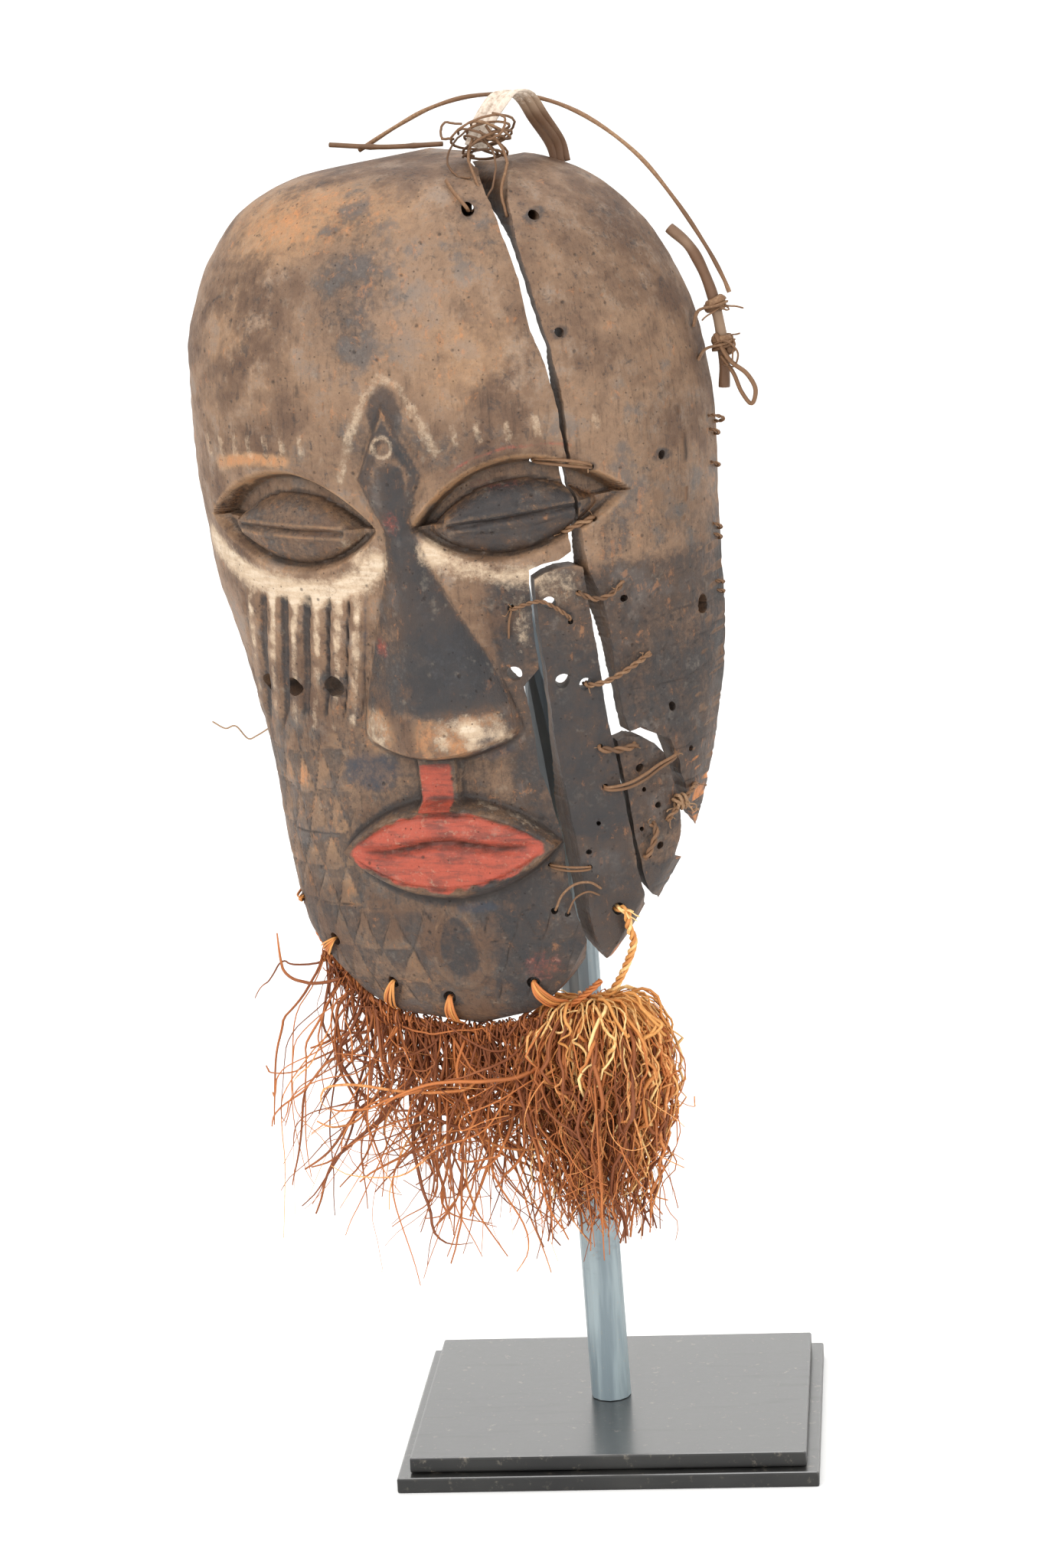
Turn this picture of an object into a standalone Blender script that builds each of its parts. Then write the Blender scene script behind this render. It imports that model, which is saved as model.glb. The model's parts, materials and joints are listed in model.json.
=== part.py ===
# Carved wooden face mask in four broken and laced boards, with raffia beard and cane bindings,
# held up by a bent plastic tube on a stepped black base. Metres, +Z up, face towards -Y.
# The origin is the middle of the base's underside.

import math

import bmesh
import bpy
from mathutils import Euler, Matrix, Vector

# Fits
GAP = 0.0003

# Stand
BASE_WIDTH = 0.155
BASE_DEPTH = 0.129
BOARD_THICKNESS = 0.0062
STEP_WIDTH = 0.0048
BOARD_EDGE = 0.0008
TUBE_DIAMETER = 0.016
TUBE_FLAT = 0.62
TUBE_HEIGHT = 0.4835
TUBE_FOOT_X = -0.0022
TUBE_FOOT_Y = -0.0013

# Mask, measured flat on
MASK_HEIGHT = 0.330
MASK_WIDTH = 0.204
MASK_DEPTH = 0.082
MASK_WALL = 0.012
MASK_YAW = -13.5
MASK_LEAN = -3.0
CARVING = 1.0

# Bindings and hair
HOOP_DIAMETER = 0.0023
RIM_CANE_DIAMETER = 0.005
STICK_DIAMETER = 0.002
BAND_WIDTH = 0.0085
BAND_THICKNESS = 0.0018
LACE_DIAMETER = 0.0022
LACE_LIFT = 0.0010
CORD_DIAMETER = 0.003
BEARD_LENGTH = 0.078
BEARD_THICKNESS = 0.026
TUFT_WIDTH = 0.054
TUFT_DEPTH = 0.044
TUFT_LENGTH = 0.092
TUFT_CORD_DIAMETER = 0.0026

# The carver's proportions are written for a mask 330 units high, 204 wide and 82 deep
KX = MASK_WIDTH / 204.0
KY = MASK_DEPTH / 82.0
KZ = MASK_HEIGHT / 330.0
ROUND = 2.3
SIGHT = math.radians(20.0)

# height, left half-width, right half-width, depth, how far the rim lies behind the temple's rim
STATIONS = [
    (-187, 0, 0, 0, -48),
    (-181, 30, 30, 9, -48),
    (-168, 50, 51, 20, -45),
    (-145, 68, 70, 36, -36),
    (-120, 76.5, 84, 50, -22),
    (-80, 83.5, 94, 64, -8),
    (-40, 92.5, 98.5, 74, 0),
    (0, 100, 100, 80, 0),
    (40, 102, 102, 82, 0),
    (75, 100.5, 98, 80, 0),
    (105, 91, 85, 72, 0),
    (125, 76, 67, 60, 0),
    (137, 52, 43, 43, 0),
    (143, 0, 0, 0, 0),
]
BOTTOM = STATIONS[0][0]
TOP = STATIONS[-1][0]


def slopes_of(rows, column):
    """Slopes that keep a curve through the stations from overshooting."""
    steps = []
    for a, b in zip(rows, rows[1:]):
        steps.append((b[column] - a[column]) / (b[0] - a[0]))
    slopes = [steps[0]]
    for left, right in zip(steps, steps[1:]):
        if left * right <= 0.0:
            slopes.append(0.0)
        else:
            slopes.append(2.0 * left * right / (left + right))
    slopes.append(steps[-1])
    return slopes


SLOPES = [None] + [slopes_of(STATIONS, column) for column in range(1, 5)]


def station(z, column):
    """One measure of the mask at height z, in the carver's units."""
    z = min(max(z, BOTTOM), TOP)
    index = 0
    while index < len(STATIONS) - 2 and z > STATIONS[index + 1][0]:
        index += 1
    z0, z1 = STATIONS[index][0], STATIONS[index + 1][0]
    v0, v1 = STATIONS[index][column], STATIONS[index + 1][column]
    m0, m1 = SLOPES[column][index], SLOPES[column][index + 1]
    span = z1 - z0
    t = (z - z0) / span
    a = (2 * t ** 3 - 3 * t ** 2 + 1) * v0 + (-2 * t ** 3 + 3 * t ** 2) * v1
    return a + ((t ** 3 - 2 * t ** 2 + t) * m0 + (t ** 3 - t ** 2) * m1) * span


def half_width(x, z):
    return station(z, 1 if x < 0 else 2)


def skin_y(x, z):
    """Depth of the smooth outside at x, z; the rim where x lies beyond it."""
    width = half_width(x, z)
    share = min(abs(x) / width, 1.0) if width > 0 else 1.0
    return station(z, 4) - station(z, 3) * (1.0 - share ** ROUND) ** (1.0 / ROUND)


def outward(x, z):
    """Level direction pointing out of the smooth outside."""
    width = max(half_width(x, z), 1.0)
    depth = max(station(z, 3), 1.0)
    share = min(abs(x) / width, 1.0)
    rise = (1.0 - share ** ROUND) ** (1.0 / ROUND)
    nx = math.copysign(share ** (ROUND - 1.0) / width, x)
    ny = -(rise ** (ROUND - 1.0)) / depth
    size = math.hypot(nx, ny)
    return (nx / size, ny / size) if size > 0 else (0.0, -1.0)


MOUTH_LEVEL = -112.0


def smooth(value):
    value = min(max(value, 0.0), 1.0)
    return value * value * (3.0 - 2.0 * value)


def bow(t, height, lean=1.0):
    """A bow from 0 at t=0 to 0 at t=1, its top at height."""
    t = min(max(t, 0.0), 1.0) ** lean
    return height * math.sin(math.pi * t) ** 0.75


def eye_line(x):
    """Along-share, axis height, and room above and below it, for the eye beside x."""
    along = (abs(x + 0.5) - 7.0) / 76.0
    share = min(max(along, 0.0), 1.0)
    return along, 10.0 + 6.0 * share, bow(share, 21.0), bow(share, 17.5, 0.9)


def eye_form(x, z):
    """Sunken leaf-shaped socket with a closed bulging lid and its slit."""
    along, axis, above, below = eye_line(x)
    inside = min(axis + above - z, z - axis + below)
    if along <= 0.0 or along >= 1.0 or inside <= 0.0:
        return 0.0
    depth = 9.0 if z > axis else 5.0
    form = -depth * smooth(inside / 3.0)
    lid_along = (along - 0.08) / 0.80
    if 0.0 < lid_along < 1.0:
        slit = axis - 1.5
        room = bow(lid_along, 13.0)
        off = abs(z - slit) / max(room, 0.1)
        if off < 1.0:
            form += (depth + 0.5) * (1.0 - off ** 2) ** 0.6 * min(1.0, room / 6.0)
        if 0.12 < lid_along < 0.9:
            form -= 1.6 * max(1.0 - abs(z - slit) / 1.5, 0.0)
    return form


def nose_line(z):
    """Middle and half-width of the nose at height z."""
    fall = min(max((12.0 - z) / 90.0, 0.0), 1.0)
    return 1.5 + 6.0 * fall, 6.0 + 25.0 * smooth(fall * 1.05) ** 0.9


def nose_under(x):
    """Height of the nose's lower edge above x."""
    return -79.0 + 9.0 * min(abs(x - 7.0) / 32.0, 1.06) ** 2.0


def mouth_room(x):
    along = min(abs(x - 4.5) / 43.0, 1.0)
    return 20.5 * (1.0 - along ** 1.7) ** 0.9


def nose_form(x, z):
    """Wedge nose, narrow between the eyes, broad and blunt at the tip."""
    if z > 12.0 or z < -84.0:
        return 0.0
    middle, half = nose_line(z)
    height = 2.5 + 13.5 * min((12.0 - z) / 78.0, 1.0)
    off = abs(x - middle) / half
    if off >= 1.0:
        return 0.0
    tip = smooth((z - nose_under(x)) / 5.0)
    return height * (1.0 - off ** 1.25) ** 0.8 * tip


def mouth_form(x, z):
    """Raised pointed oval with a groove inside its edge and two lips."""
    along = abs(x - 4.5) / 43.0
    room = mouth_room(x)
    off = abs(z - MOUTH_LEVEL) / max(room, 0.1)
    if along >= 1.0 or off >= 1.0:
        return 0.0
    form = 8.0 * smooth((1.0 - off) * room / 5.0)
    line = abs(z - MOUTH_LEVEL - 1.0)
    if along < 0.75 and line < 3.5:
        form -= 2.8 * (1.0 - line / 3.5) * (1.0 - along / 0.75)
    return form


def bar_form(x, z):
    """Upright bar between the nose and the mouth."""
    if z < -96.0 or z > -76.0:
        return 0.0
    return 4.0 * smooth((9.0 - abs(x - 4.0)) / 2.5)


def crest_form(x, z):
    """Low arrowhead panel on the forehead, running into the nose."""
    if z > 60.0 or z < 8.0:
        return 0.0
    if z > 30.0:
        half = 15.0 * (60.0 - z) / 30.0
    else:
        half = 15.0 - 9.0 * (30.0 - z) / 22.0
    return 2.5 * smooth((half - abs(x - 1.0)) / 3.0)


def carving(x, z):
    """Height of the carving above the smooth outside, in the carver's units."""
    return eye_form(x, z) + max(nose_form(x, z), bar_form(x, z), crest_form(x, z), 0.0) + mouth_form(x, z)


def place(x, y, z):
    """Carver's units to metres in the mask's own frame."""
    return Vector((x * KX, y * KY, z * KZ))


def on_skin(x, z, lift=0.0):
    """Point on the smooth outside, lifted outwards by a length in metres."""
    nx, ny = outward(x, z)
    return place(x, skin_y(x, z), z) + Vector((nx, ny, 0.0)) * lift


# Scene and collections
for old in list(bpy.data.objects):
    bpy.data.objects.remove(old, do_unlink=True)


def new_collection(name):
    found = bpy.data.collections.new(name)
    bpy.context.scene.collection.children.link(found)
    return found


PARTS = new_collection("carved_wood_mask")
CUTTERS = new_collection("cutters")


def material(name, color, roughness, metallic=0.0):
    made = bpy.data.materials.new(name)
    made.use_nodes = True
    shader = made.node_tree.nodes["Principled BSDF"]
    shader.inputs["Base Color"].default_value = (color[0], color[1], color[2], 1.0)
    shader.inputs["Roughness"].default_value = roughness
    shader.inputs["Metallic"].default_value = metallic
    return made


BLACK = material("satin_black_board", (0.012, 0.012, 0.013), 0.42)
GREY = material("grey_plastic_tube", (0.34, 0.42, 0.48), 0.45)
WOOD = material("old_carved_wood", (0.10, 0.075, 0.055), 0.72)
CANE = material("old_cane", (0.17, 0.10, 0.05), 0.66)
PALE = material("pale_split_cane", (0.62, 0.55, 0.47), 0.6)
RUST = material("rust_raffia", (0.30, 0.12, 0.045), 0.82)
GOLD = material("golden_raffia", (0.50, 0.27, 0.09), 0.82)


def add_object(name, data, look=None, parent=None, smooth_angle=None):
    made = bpy.data.objects.new(name, data)
    if look is None:
        CUTTERS.objects.link(made)
        made.hide_render = True
        made.display_type = "WIRE"
    else:
        PARTS.objects.link(made)
        data.materials.append(look)
    if smooth_angle is not None:
        data.shade_smooth()
        data.set_sharp_from_angle(angle=math.radians(smooth_angle))
    made.parent = parent
    return made


def mesh_from(name, shape):
    bmesh.ops.recalc_face_normals(shape, faces=shape.faces)
    data = bpy.data.meshes.new(name)
    shape.to_mesh(data)
    shape.free()
    return data


def loft(name, rings, flat_sides=False):
    """Solid through rings of equally many points; its sides can be cut into flat triangles."""
    shape = bmesh.new()
    loops = []
    for ring in rings:
        loops.append([shape.verts.new(point) for point in ring])
    for one, two in zip(loops, loops[1:]):
        for index in range(len(one)):
            after = (index + 1) % len(one)
            shape.faces.new((one[index], one[after], two[after], two[index]))
    if flat_sides:
        bmesh.ops.triangulate(shape, faces=shape.faces)
    shape.faces.new(list(reversed(loops[0])))
    shape.faces.new(loops[-1])
    return mesh_from(name, shape)


def boolean(target, cutter, operation="DIFFERENCE"):
    step = target.modifiers.new(cutter.name, "BOOLEAN")
    step.operation = operation
    step.solver = "EXACT"
    step.object = cutter
    return step


def box(name, width, depth, height, look, z):
    shape = bmesh.new()
    bmesh.ops.create_cube(shape, size=1.0)
    bmesh.ops.scale(shape, vec=(width, depth, height), verts=shape.verts)
    data = mesh_from(name, shape)
    made = add_object(name, data, look)
    made.location = (0.0, 0.0, z + height / 2.0)
    edge = made.modifiers.new("edge", "BEVEL")
    edge.width = BOARD_EDGE
    edge.segments = 2
    return made


def wire(name, points, diameter, look, parent=None, closed=False, sides=2):
    """Round cane or cord through points, with filled ends."""
    data = bpy.data.curves.new(name, "CURVE")
    data.dimensions = "3D"
    data.bevel_depth = diameter / 2.0
    data.bevel_resolution = sides
    data.use_fill_caps = not closed
    line = data.splines.new("POLY")
    line.points.add(len(points) - 1)
    for spot, point in zip(line.points, points):
        spot.co = (point[0], point[1], point[2], 1.0)
    line.use_cyclic_u = closed
    made = bpy.data.objects.new(name, data)
    PARTS.objects.link(made)
    data.materials.append(look)
    made.parent = parent
    return made


def through(points, count):
    """Evenly many points along a smooth curve through the given ones."""
    points = [Vector(point) for point in points]
    padded = [points[0] * 2 - points[1]] + points + [points[-1] * 2 - points[-2]]
    found = []
    for step in range(count):
        place_on = step * (len(points) - 1) / (count - 1)
        index = min(int(place_on), len(points) - 2)
        t = place_on - index
        a, b, c, d = padded[index:index + 4]
        found.append(0.5 * (2 * b + (c - a) * t + (2 * a - 5 * b + 4 * c - d) * t * t
                            + (3 * b - a - 3 * c + d) * t ** 3))
    return found


# Base: two boards, the upper one set back
STEP_TOP = BOARD_THICKNESS + GAP
BASE_TOP = STEP_TOP + BOARD_THICKNESS
box("base_lower_board", BASE_WIDTH + 2 * STEP_WIDTH, BASE_DEPTH + 2 * STEP_WIDTH, BOARD_THICKNESS, BLACK, 0.0)
box("base_upper_board", BASE_WIDTH, BASE_DEPTH, BOARD_THICKNESS, BLACK, STEP_TOP)

# Tube: upright, then softened and bent, flattened above the bend; solid, as both its ends are closed off
# Its path runs sideways, forwards and up, in shares of the tube's height
TUBE_PATH = [
    (0.0, 0.0, 0.0), (-0.0041, 0.0, 0.180), (-0.0087, 0.0, 0.420), (-0.0103, 0.0, 0.480), (-0.0186, -0.0004, 0.555),
    (-0.0300, -0.0014, 0.620), (-0.0445, -0.0041, 0.705), (-0.0620, -0.0145, 0.820), (-0.0838, -0.0300, 0.925),
    (-0.1013, -0.0401, 1.0),
]
FLAT_FROM = 0.47
FLAT_FULL = 0.57


def tube_axis(count):
    foot = Vector((TUBE_FOOT_X, TUBE_FOOT_Y, BASE_TOP + GAP))
    return through([foot + Vector(share) * TUBE_HEIGHT for share in TUBE_PATH], count)


AXIS = tube_axis(19)


def tube_rings(radius):
    rings = []
    for index, centre in enumerate(AXIS):
        before = AXIS[max(index - 1, 0)]
        after = AXIS[min(index + 1, len(AXIS) - 1)]
        run = (after - before).normalized()
        if index == 0:
            run = Vector((0.0, 0.0, 1.0))
        side = Vector((1.0, 0.0, 0.0))
        side = (side - run * side.dot(run)).normalized()
        front = run.cross(side)
        share = index / (len(AXIS) - 1)
        flat = smooth((share - FLAT_FROM) / (FLAT_FULL - FLAT_FROM))
        narrow = 1.0 - (1.0 - TUBE_FLAT) * flat
        broad = 1.0 + (1.0 - TUBE_FLAT) * 0.5 * flat
        ring = []
        for corner in range(12):
            turn = 2.0 * math.pi * corner / 12
            ring.append(centre + side * math.cos(turn) * radius * narrow
                        + front * math.sin(turn) * radius * broad)
        rings.append(ring)
    return rings


OUTER_RINGS = tube_rings(TUBE_DIAMETER / 2.0)
add_object("stand_tube", loft("stand_tube", OUTER_RINGS), GREY, smooth_angle=40)

# Where the mask sits: lowered over the tube until the inside of its crown meets the tube's end
WALL_X = MASK_WALL / KX
WALL_Y = MASK_WALL / KY
WALL_Z = MASK_WALL / KZ
MIDDLE = (TOP + BOTTOM) / 2.0
SHRINK = 1.0 - WALL_Z / (TOP - MIDDLE)
TURN = Euler((0.0, math.radians(MASK_LEAN), math.radians(MASK_YAW)), "XYZ").to_matrix()
CROWN_X = -7.5
CROWN_Y = -21.0


def inside_height(x, y):
    """Height of the crown's inside above x, y, in the carver's units."""
    low, high = 60.0, TOP
    for _ in range(40):
        z = (low + high) / 2.0
        width = half_width(x, z) - WALL_X
        depth = station(z, 3) - WALL_Y
        covered = False
        if width > 1.0 and depth > 1.0 and abs(x) < width:
            covered = depth * (1.0 - (abs(x) / width) ** ROUND) ** (1.0 / ROUND) > -y
        if covered:
            low = z
        else:
            high = z
    return MIDDLE + (low - MIDDLE) * SHRINK


END = AXIS[-1]
SIDEWAYS = END - TURN @ place(CROWN_X, CROWN_Y, 0.0)
drop = 1.0
for point in OUTER_RINGS[-1]:
    local = TURN.inverted() @ (point - Vector((SIDEWAYS.x, SIDEWAYS.y, 0.0)))
    drop = min(drop, inside_height(local.x / KX, min(local.y / KY, 0.0)) * KZ - local.z)
mask_pose = bpy.data.objects.new("mask_pose", None)
PARTS.objects.link(mask_pose)
mask_pose.location = (SIDEWAYS.x, SIDEWAYS.y, -drop + GAP)
mask_pose.rotation_euler = (0.0, math.radians(MASK_LEAN), math.radians(MASK_YAW))

# Shell of the mask: the carved outside as one solid, and the hollow as its cutter
LOW_LEVELS = [-181, -171, -160, -149, -140]
MOUTH_SHARES = [-1.05, -0.80, -0.45, -0.14, 0.05, 0.22, 0.50, 0.80, 1.05]
UNDER_STEPS = [-0.3, 2.6, 5.6]
NOSE_LEVELS = [-57, -46, -35, -24, -13]
EYE_SHARES = [-1.05, -0.88, -0.68, -0.40, -0.17, -0.085, 0.0, 0.22, 0.46, 0.60, 0.87, 1.04]
HIGH_LEVELS = [51, 63, 79, 96, 109, 119, 127, 133, 138, 141]
ROWS = [("level", value) for value in LOW_LEVELS]
ROWS += [("mouth", value) for value in MOUTH_SHARES]
ROWS += [("level", -86.5)]
ROWS += [("under", value) for value in UNDER_STEPS]
ROWS += [("level", value) for value in NOSE_LEVELS]
ROWS += [("eye", value) for value in EYE_SHARES]
ROWS += [("brow", 39)]
ROWS += [("level", value) for value in HIGH_LEVELS]
SHARES = [-1.0, -0.985, -0.95, -0.90]
SHARES += [-0.85 + 1.5 * step / 26 for step in range(27)]
SHARES += [0.70, 0.75, 0.80, 0.85, 0.90, 0.95, 0.985, 1.0]
LEAST_ROOM = 5.0


def row_height(kind, value, x):
    """Height at x of one row of the skin; rows follow the edges of eyes, nose and mouth."""
    if kind == "mouth":
        return MOUTH_LEVEL + value * max(mouth_room(x), LEAST_ROOM)
    if kind == "under":
        return nose_under(x) + value
    if kind in ("eye", "brow"):
        along, axis, above, below = eye_line(x)
        if kind == "brow":
            return 0.6 * (axis + max(above, LEAST_ROOM) * 1.04) + 0.4 * value
        return axis + value * max(above if value > 0 else below, LEAST_ROOM)
    return value


def column_place(x, z):
    """Draws the columns beside the nose on to its edges."""
    middle, half = nose_line(z)
    strength = smooth((-1.0 - z) / 11.0) * smooth((z + 94.0) / 12.0)
    size = abs(x)
    if size < 25.0:
        drawn = middle + x * half / 25.0
    elif size < 45.0:
        edge = middle + math.copysign(half, x)
        drawn = edge + (math.copysign(45.0, x) - edge) * (size - 25.0) / 20.0
    else:
        drawn = x
    return x + (drawn - x) * strength


def carved_ring(kind, value):
    ring = []
    for share in SHARES:
        x = share * 95.0
        z = row_height(kind, value, x)
        for _ in range(4):
            x = column_place(share * station(z, 1 if share < 0 else 2), z)
            z = row_height(kind, value, x)
        nx, ny = outward(x, z)
        height = carving(x, z) * CARVING
        ring.append(place(x, skin_y(x, z), z) + Vector((nx * KX, ny * KY, 0.0)) * height)
    return ring


def dome(name, rings, bottom, top):
    """Solid through open rings, closed flat behind and to a point at both ends."""
    shape = bmesh.new()
    rows = []
    for ring in rings:
        rows.append([shape.verts.new(point) for point in ring])
    low = shape.verts.new(bottom)
    high = shape.verts.new(top)
    count = len(rows[0])
    for one, two in zip(rows, rows[1:]):
        for index in range(count):
            after = (index + 1) % count
            shape.faces.new((one[index], one[after], two[after], two[index]))
    for index in range(count):
        after = (index + 1) % count
        shape.faces.new((low, rows[0][after], rows[0][index]))
        shape.faces.new((high, rows[-1][index], rows[-1][after]))
    return mesh_from(name, shape)


SKIN = dome("carved_skin", [carved_ring(*row) for row in ROWS], place(0, station(BOTTOM, 4), BOTTOM), place(0, 0, TOP))
HOLLOW_LEVELS = [-165, -150, -130, -105, -75, -40, 0, 40, 75, 100, 118, 130, 137, 140]
HOLLOW_SHARES = [-1.0, -0.97, -0.88, -0.70, -0.45, -0.15, 0.15, 0.45, 0.70, 0.88, 0.97, 1.0]
BEHIND = 40.0


def hollow_ring(z):
    level = MIDDLE + (z - MIDDLE) * SHRINK
    left = max(station(z, 1) - WALL_X, 4.0)
    right = max(station(z, 2) - WALL_X, 4.0)
    depth = max(station(z, 3) - WALL_Y, 2.0)
    rim = station(z, 4)
    ring = [place(-left, BEHIND, level)]
    for share in HOLLOW_SHARES:
        x = share * (left if share < 0 else right)
        ring.append(place(x, rim - depth * (1.0 - abs(share) ** ROUND) ** (1.0 / ROUND), level))
    ring.append(place(right, BEHIND, level))
    return ring


hollow = add_object("hollow", loft("hollow", [hollow_ring(z) for z in HOLLOW_LEVELS]), parent=mask_pose)

# Broken edges, as x, z on the outside and how much each slants on its way in.
# The saw-like outlines of the four boards go round clear of the silhouette.
FACE_EDGE = [
    (22.7, 150, 0.2), (22.7, 140, 0.2), (31.4, 135.6, 0.3), (35.1, 131.4, 0.3), (40.8, 123.6, 0.35),
    (47.5, 109.3, 0.35), (52.4, 96.3, 0.35), (56.5, 77.8, 0.35), (60.5, 65.3, 0.35), (63.6, 48.9, 0.35),
    (64.2, 31.7, 0.35), (65.0, 17.1, 0.35), (64.8, 7.1, 0.35), (62.3, 1.5, 0.35), (62.1, -3.4, 0.35),
    (57.6, -6.2, 0.3), (52.6, -6.8, 0.3), (46.9, -8.6, 0.4), (46.1, -27.7, 0.4), (45.2, -46.3, 0.4),
    (39.1, -52.5, 0.4), (40.9, -69.8, 0.4), (41.8, -85.0, 0.4), (44.5, -95.5, 0.4), (47.0, -108.0, 0.4),
    (47.3, -130.0, 0.4), (49.7, -143.3, 0.4), (51.6, -157.0, 0.3), (51.6, -166.0, 0.3), (51.6, -200, 0.3),
]
TEMPLE_EDGE = [
    (36.0, 150, 0.2), (37.6, 138.2, 0.2), (41.8, 134.9, 0.25), (45.9, 123.5, 0.3), (51.3, 108.7, 0.3),
    (57.8, 88.0, 0.3), (62.6, 69.8, 0.3), (65.2, 51.0, 0.3), (65.8, 31.4, 0.3), (66.5, 18.3, 0.3),
    (66.4, 7.9, 0.3), (66.2, 1.6, 0.3), (67.6, -12.9, 0.2), (70.2, -23.0, 0.25), (70.7, -40.4, 0.25),
    (70.8, -54.4, 0.2), (71.7, -66.7, 0.2), (73.4, -74.2, 0.2), (77.3, -73.1, 0.1), (81.2, -77.0, 0.1),
    (84.6, -80.0, 0.1), (86.3, -88.4, 0.1), (86.6, -100.7, 0.1), (86.4, -110.8, 0.1), (84.9, -120.2, 0.1),
    (82.0, -128.4, 0.1),
]
SLAT_LEFT = [
    (65.2, -9.9, 0.2), (63.1, -8.9, 0.2), (57.8, -9.0, 0.2), (52.5, -10.4, 0.1), (48.6, -12.5, 0.1),
    (47.9, -28.0, 0.1), (47.6, -46.0, 0.1), (48.0, -64.0, 0.1), (49.0, -84.0, 0.2), (50.6, -97.7, 0.4),
    (52.2, -115.9, 0.4), (53.8, -134.4, 0.4), (53.8, -150.0, 0.3), (54.8, -160.8, 0.2),
]
SLAT_RIGHT = [
    (56.0, -163.6, 0.1), (60.5, -158.2, 0.1), (65.1, -152.0, 0.1), (69.6, -146.5, 0.15), (71.2, -136.4, 0.15),
    (70.4, -119.3, 0.15), (69.2, -99.9, 0.15), (68.0, -83.2, 0.15), (66.9, -69.6, 0.15), (66.0, -50.0, 0.2),
    (65.7, -32.7, 0.2), (65.4, -19.1, 0.2),
]
JAW_EDGE = [
    (72.6, -148.0, 0.1), (72.5, -136.4, 0.15), (71.7, -119.3, 0.15), (70.5, -99.9, 0.15), (69.4, -84.0, 0.15),
    (69.2, -77.0, 0.15), (72.4, -75.8, 0.1), (76.9, -76.8, 0.2), (80.2, -80.2, 0.2), (82.6, -84.4, 0.2),
    (84.0, -92.0, 0.2), (84.6, -101.2, 0.2), (84.4, -109.6, 0.2), (83.2, -118.5, 0.2), (79.9, -127.6, 0.2),
    (86.0, -133.0, 0.1), (80.0, -152.0, 0.1),
]
AWAY_LEFT = [(-130, -215), (-130, 170), (0, 170)]
ACROSS = Vector((math.cos(SIGHT), math.sin(SIGHT), 0.0))
INWARDS = Vector((-math.sin(SIGHT), math.cos(SIGHT), 0.0))


FRONT = -1.65 * MASK_DEPTH
BACK = 0.9 * MASK_DEPTH
NEAR = -0.7 * MASK_WALL
DEEP = 2.5 * MASK_WALL


def edge_cutter(name, traced, far, back=BACK):
    """Block whose broken side runs through the traced line and slants through the wall."""
    rings = []
    for run, plane in ((NEAR, FRONT), (NEAR, None), (DEEP, None), (DEEP, back)):
        ring = []
        for x, z, slant in traced:
            spot = place(x, skin_y(x, z), z)
            depth = spot.dot(INWARDS) + run if plane is None else plane
            ring.append(ACROSS * (spot.dot(ACROSS) - slant * run) + INWARDS * depth + Vector((0, 0, spot.z)))
        for across, z in far:
            depth = run if plane is None else plane
            ring.append(ACROSS * across * KX + INWARDS * depth + Vector((0, 0, z * KZ)))
        rings.append(ring)
    return add_object(name, loft(name, rings, flat_sides=True), parent=mask_pose)


face_cut = edge_cutter("face_outline", FACE_EDGE, AWAY_LEFT)
temple_cut = edge_cutter("temple_outline", TEMPLE_EDGE, [(150, -150), (150, 170), (60, 170)])
slat_cut = edge_cutter("slat_outline", SLAT_LEFT + SLAT_RIGHT, [], -0.3 * MASK_DEPTH)
jaw_cut = edge_cutter("jaw_outline", JAW_EDGE, [], 0.0)

# Drilled holes: x, z, diameter in the carver's units
FACE_HOLES = [
    (-70.6, -49.9, 6.8), (-54.6, -50.1, 7.8), (-35.9, -49.4, 8.6), (36.5, -47.3, 5.6), (33.0, 122.3, 5.0),
    (39.1, -22.2, 2.8), (41.6, -138.3, 2.8), (-66.5, -135.0, 2.8), (-50.5, -149.0, 5.0), (-28.0, -166.0, 4.6),
    (-5.7, -172.4, 5.4), (28.5, -167.0, 5.0),
]
TEMPLE_HOLES = [
    (92.1, 26.5, 3.4), (76.7, -23.9, 2.8), (55.2, 117.7, 4.0), (65.5, 76.1, 3.6), (86.4, -68.0, 3.4), (96.5, -33.0, 7.0),
]
SLAT_HOLES = [(53.0, -51.8, 5.4), (60.8, -54.1, 5.0), (52.5, -21.7, 5.0), (63.0, -141.0, 5.0)]
JAW_HOLES = [(75.0, -88.5, 3.2), (78.0, -119.8, 3.0), (79.0, -104.0, 2.6)]


def hole_cutter(name, holes):
    shape = bmesh.new()
    for x, z, width in holes:
        nx, ny = outward(x, z)
        out = Vector((nx, ny, 0.0))
        turn = out.to_track_quat("Z", "Y").to_matrix().to_4x4()
        spot = Matrix.Translation(place(x, skin_y(x, z), z)) @ turn
        radius = width * KX / 2.0
        bmesh.ops.create_cone(shape, cap_ends=True, segments=8, radius1=radius, radius2=radius,
                              depth=MASK_WALL * 3.4, matrix=spot)
    return add_object(name, mesh_from(name, shape), parent=mask_pose)


def mask_board(name, outline, holes):
    board = add_object(name, SKIN.copy(), WOOD, mask_pose)
    boolean(board, hollow)
    boolean(board, outline, "INTERSECT")
    boolean(board, hole_cutter(name + "_holes", holes))
    return board


mask_board("mask_face_board", face_cut, FACE_HOLES)
mask_board("mask_temple_board", temple_cut, TEMPLE_HOLES)
mask_board("mask_cheek_slat", slat_cut, SLAT_HOLES)
mask_board("mask_jaw_piece", jaw_cut, JAW_HOLES)


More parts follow.
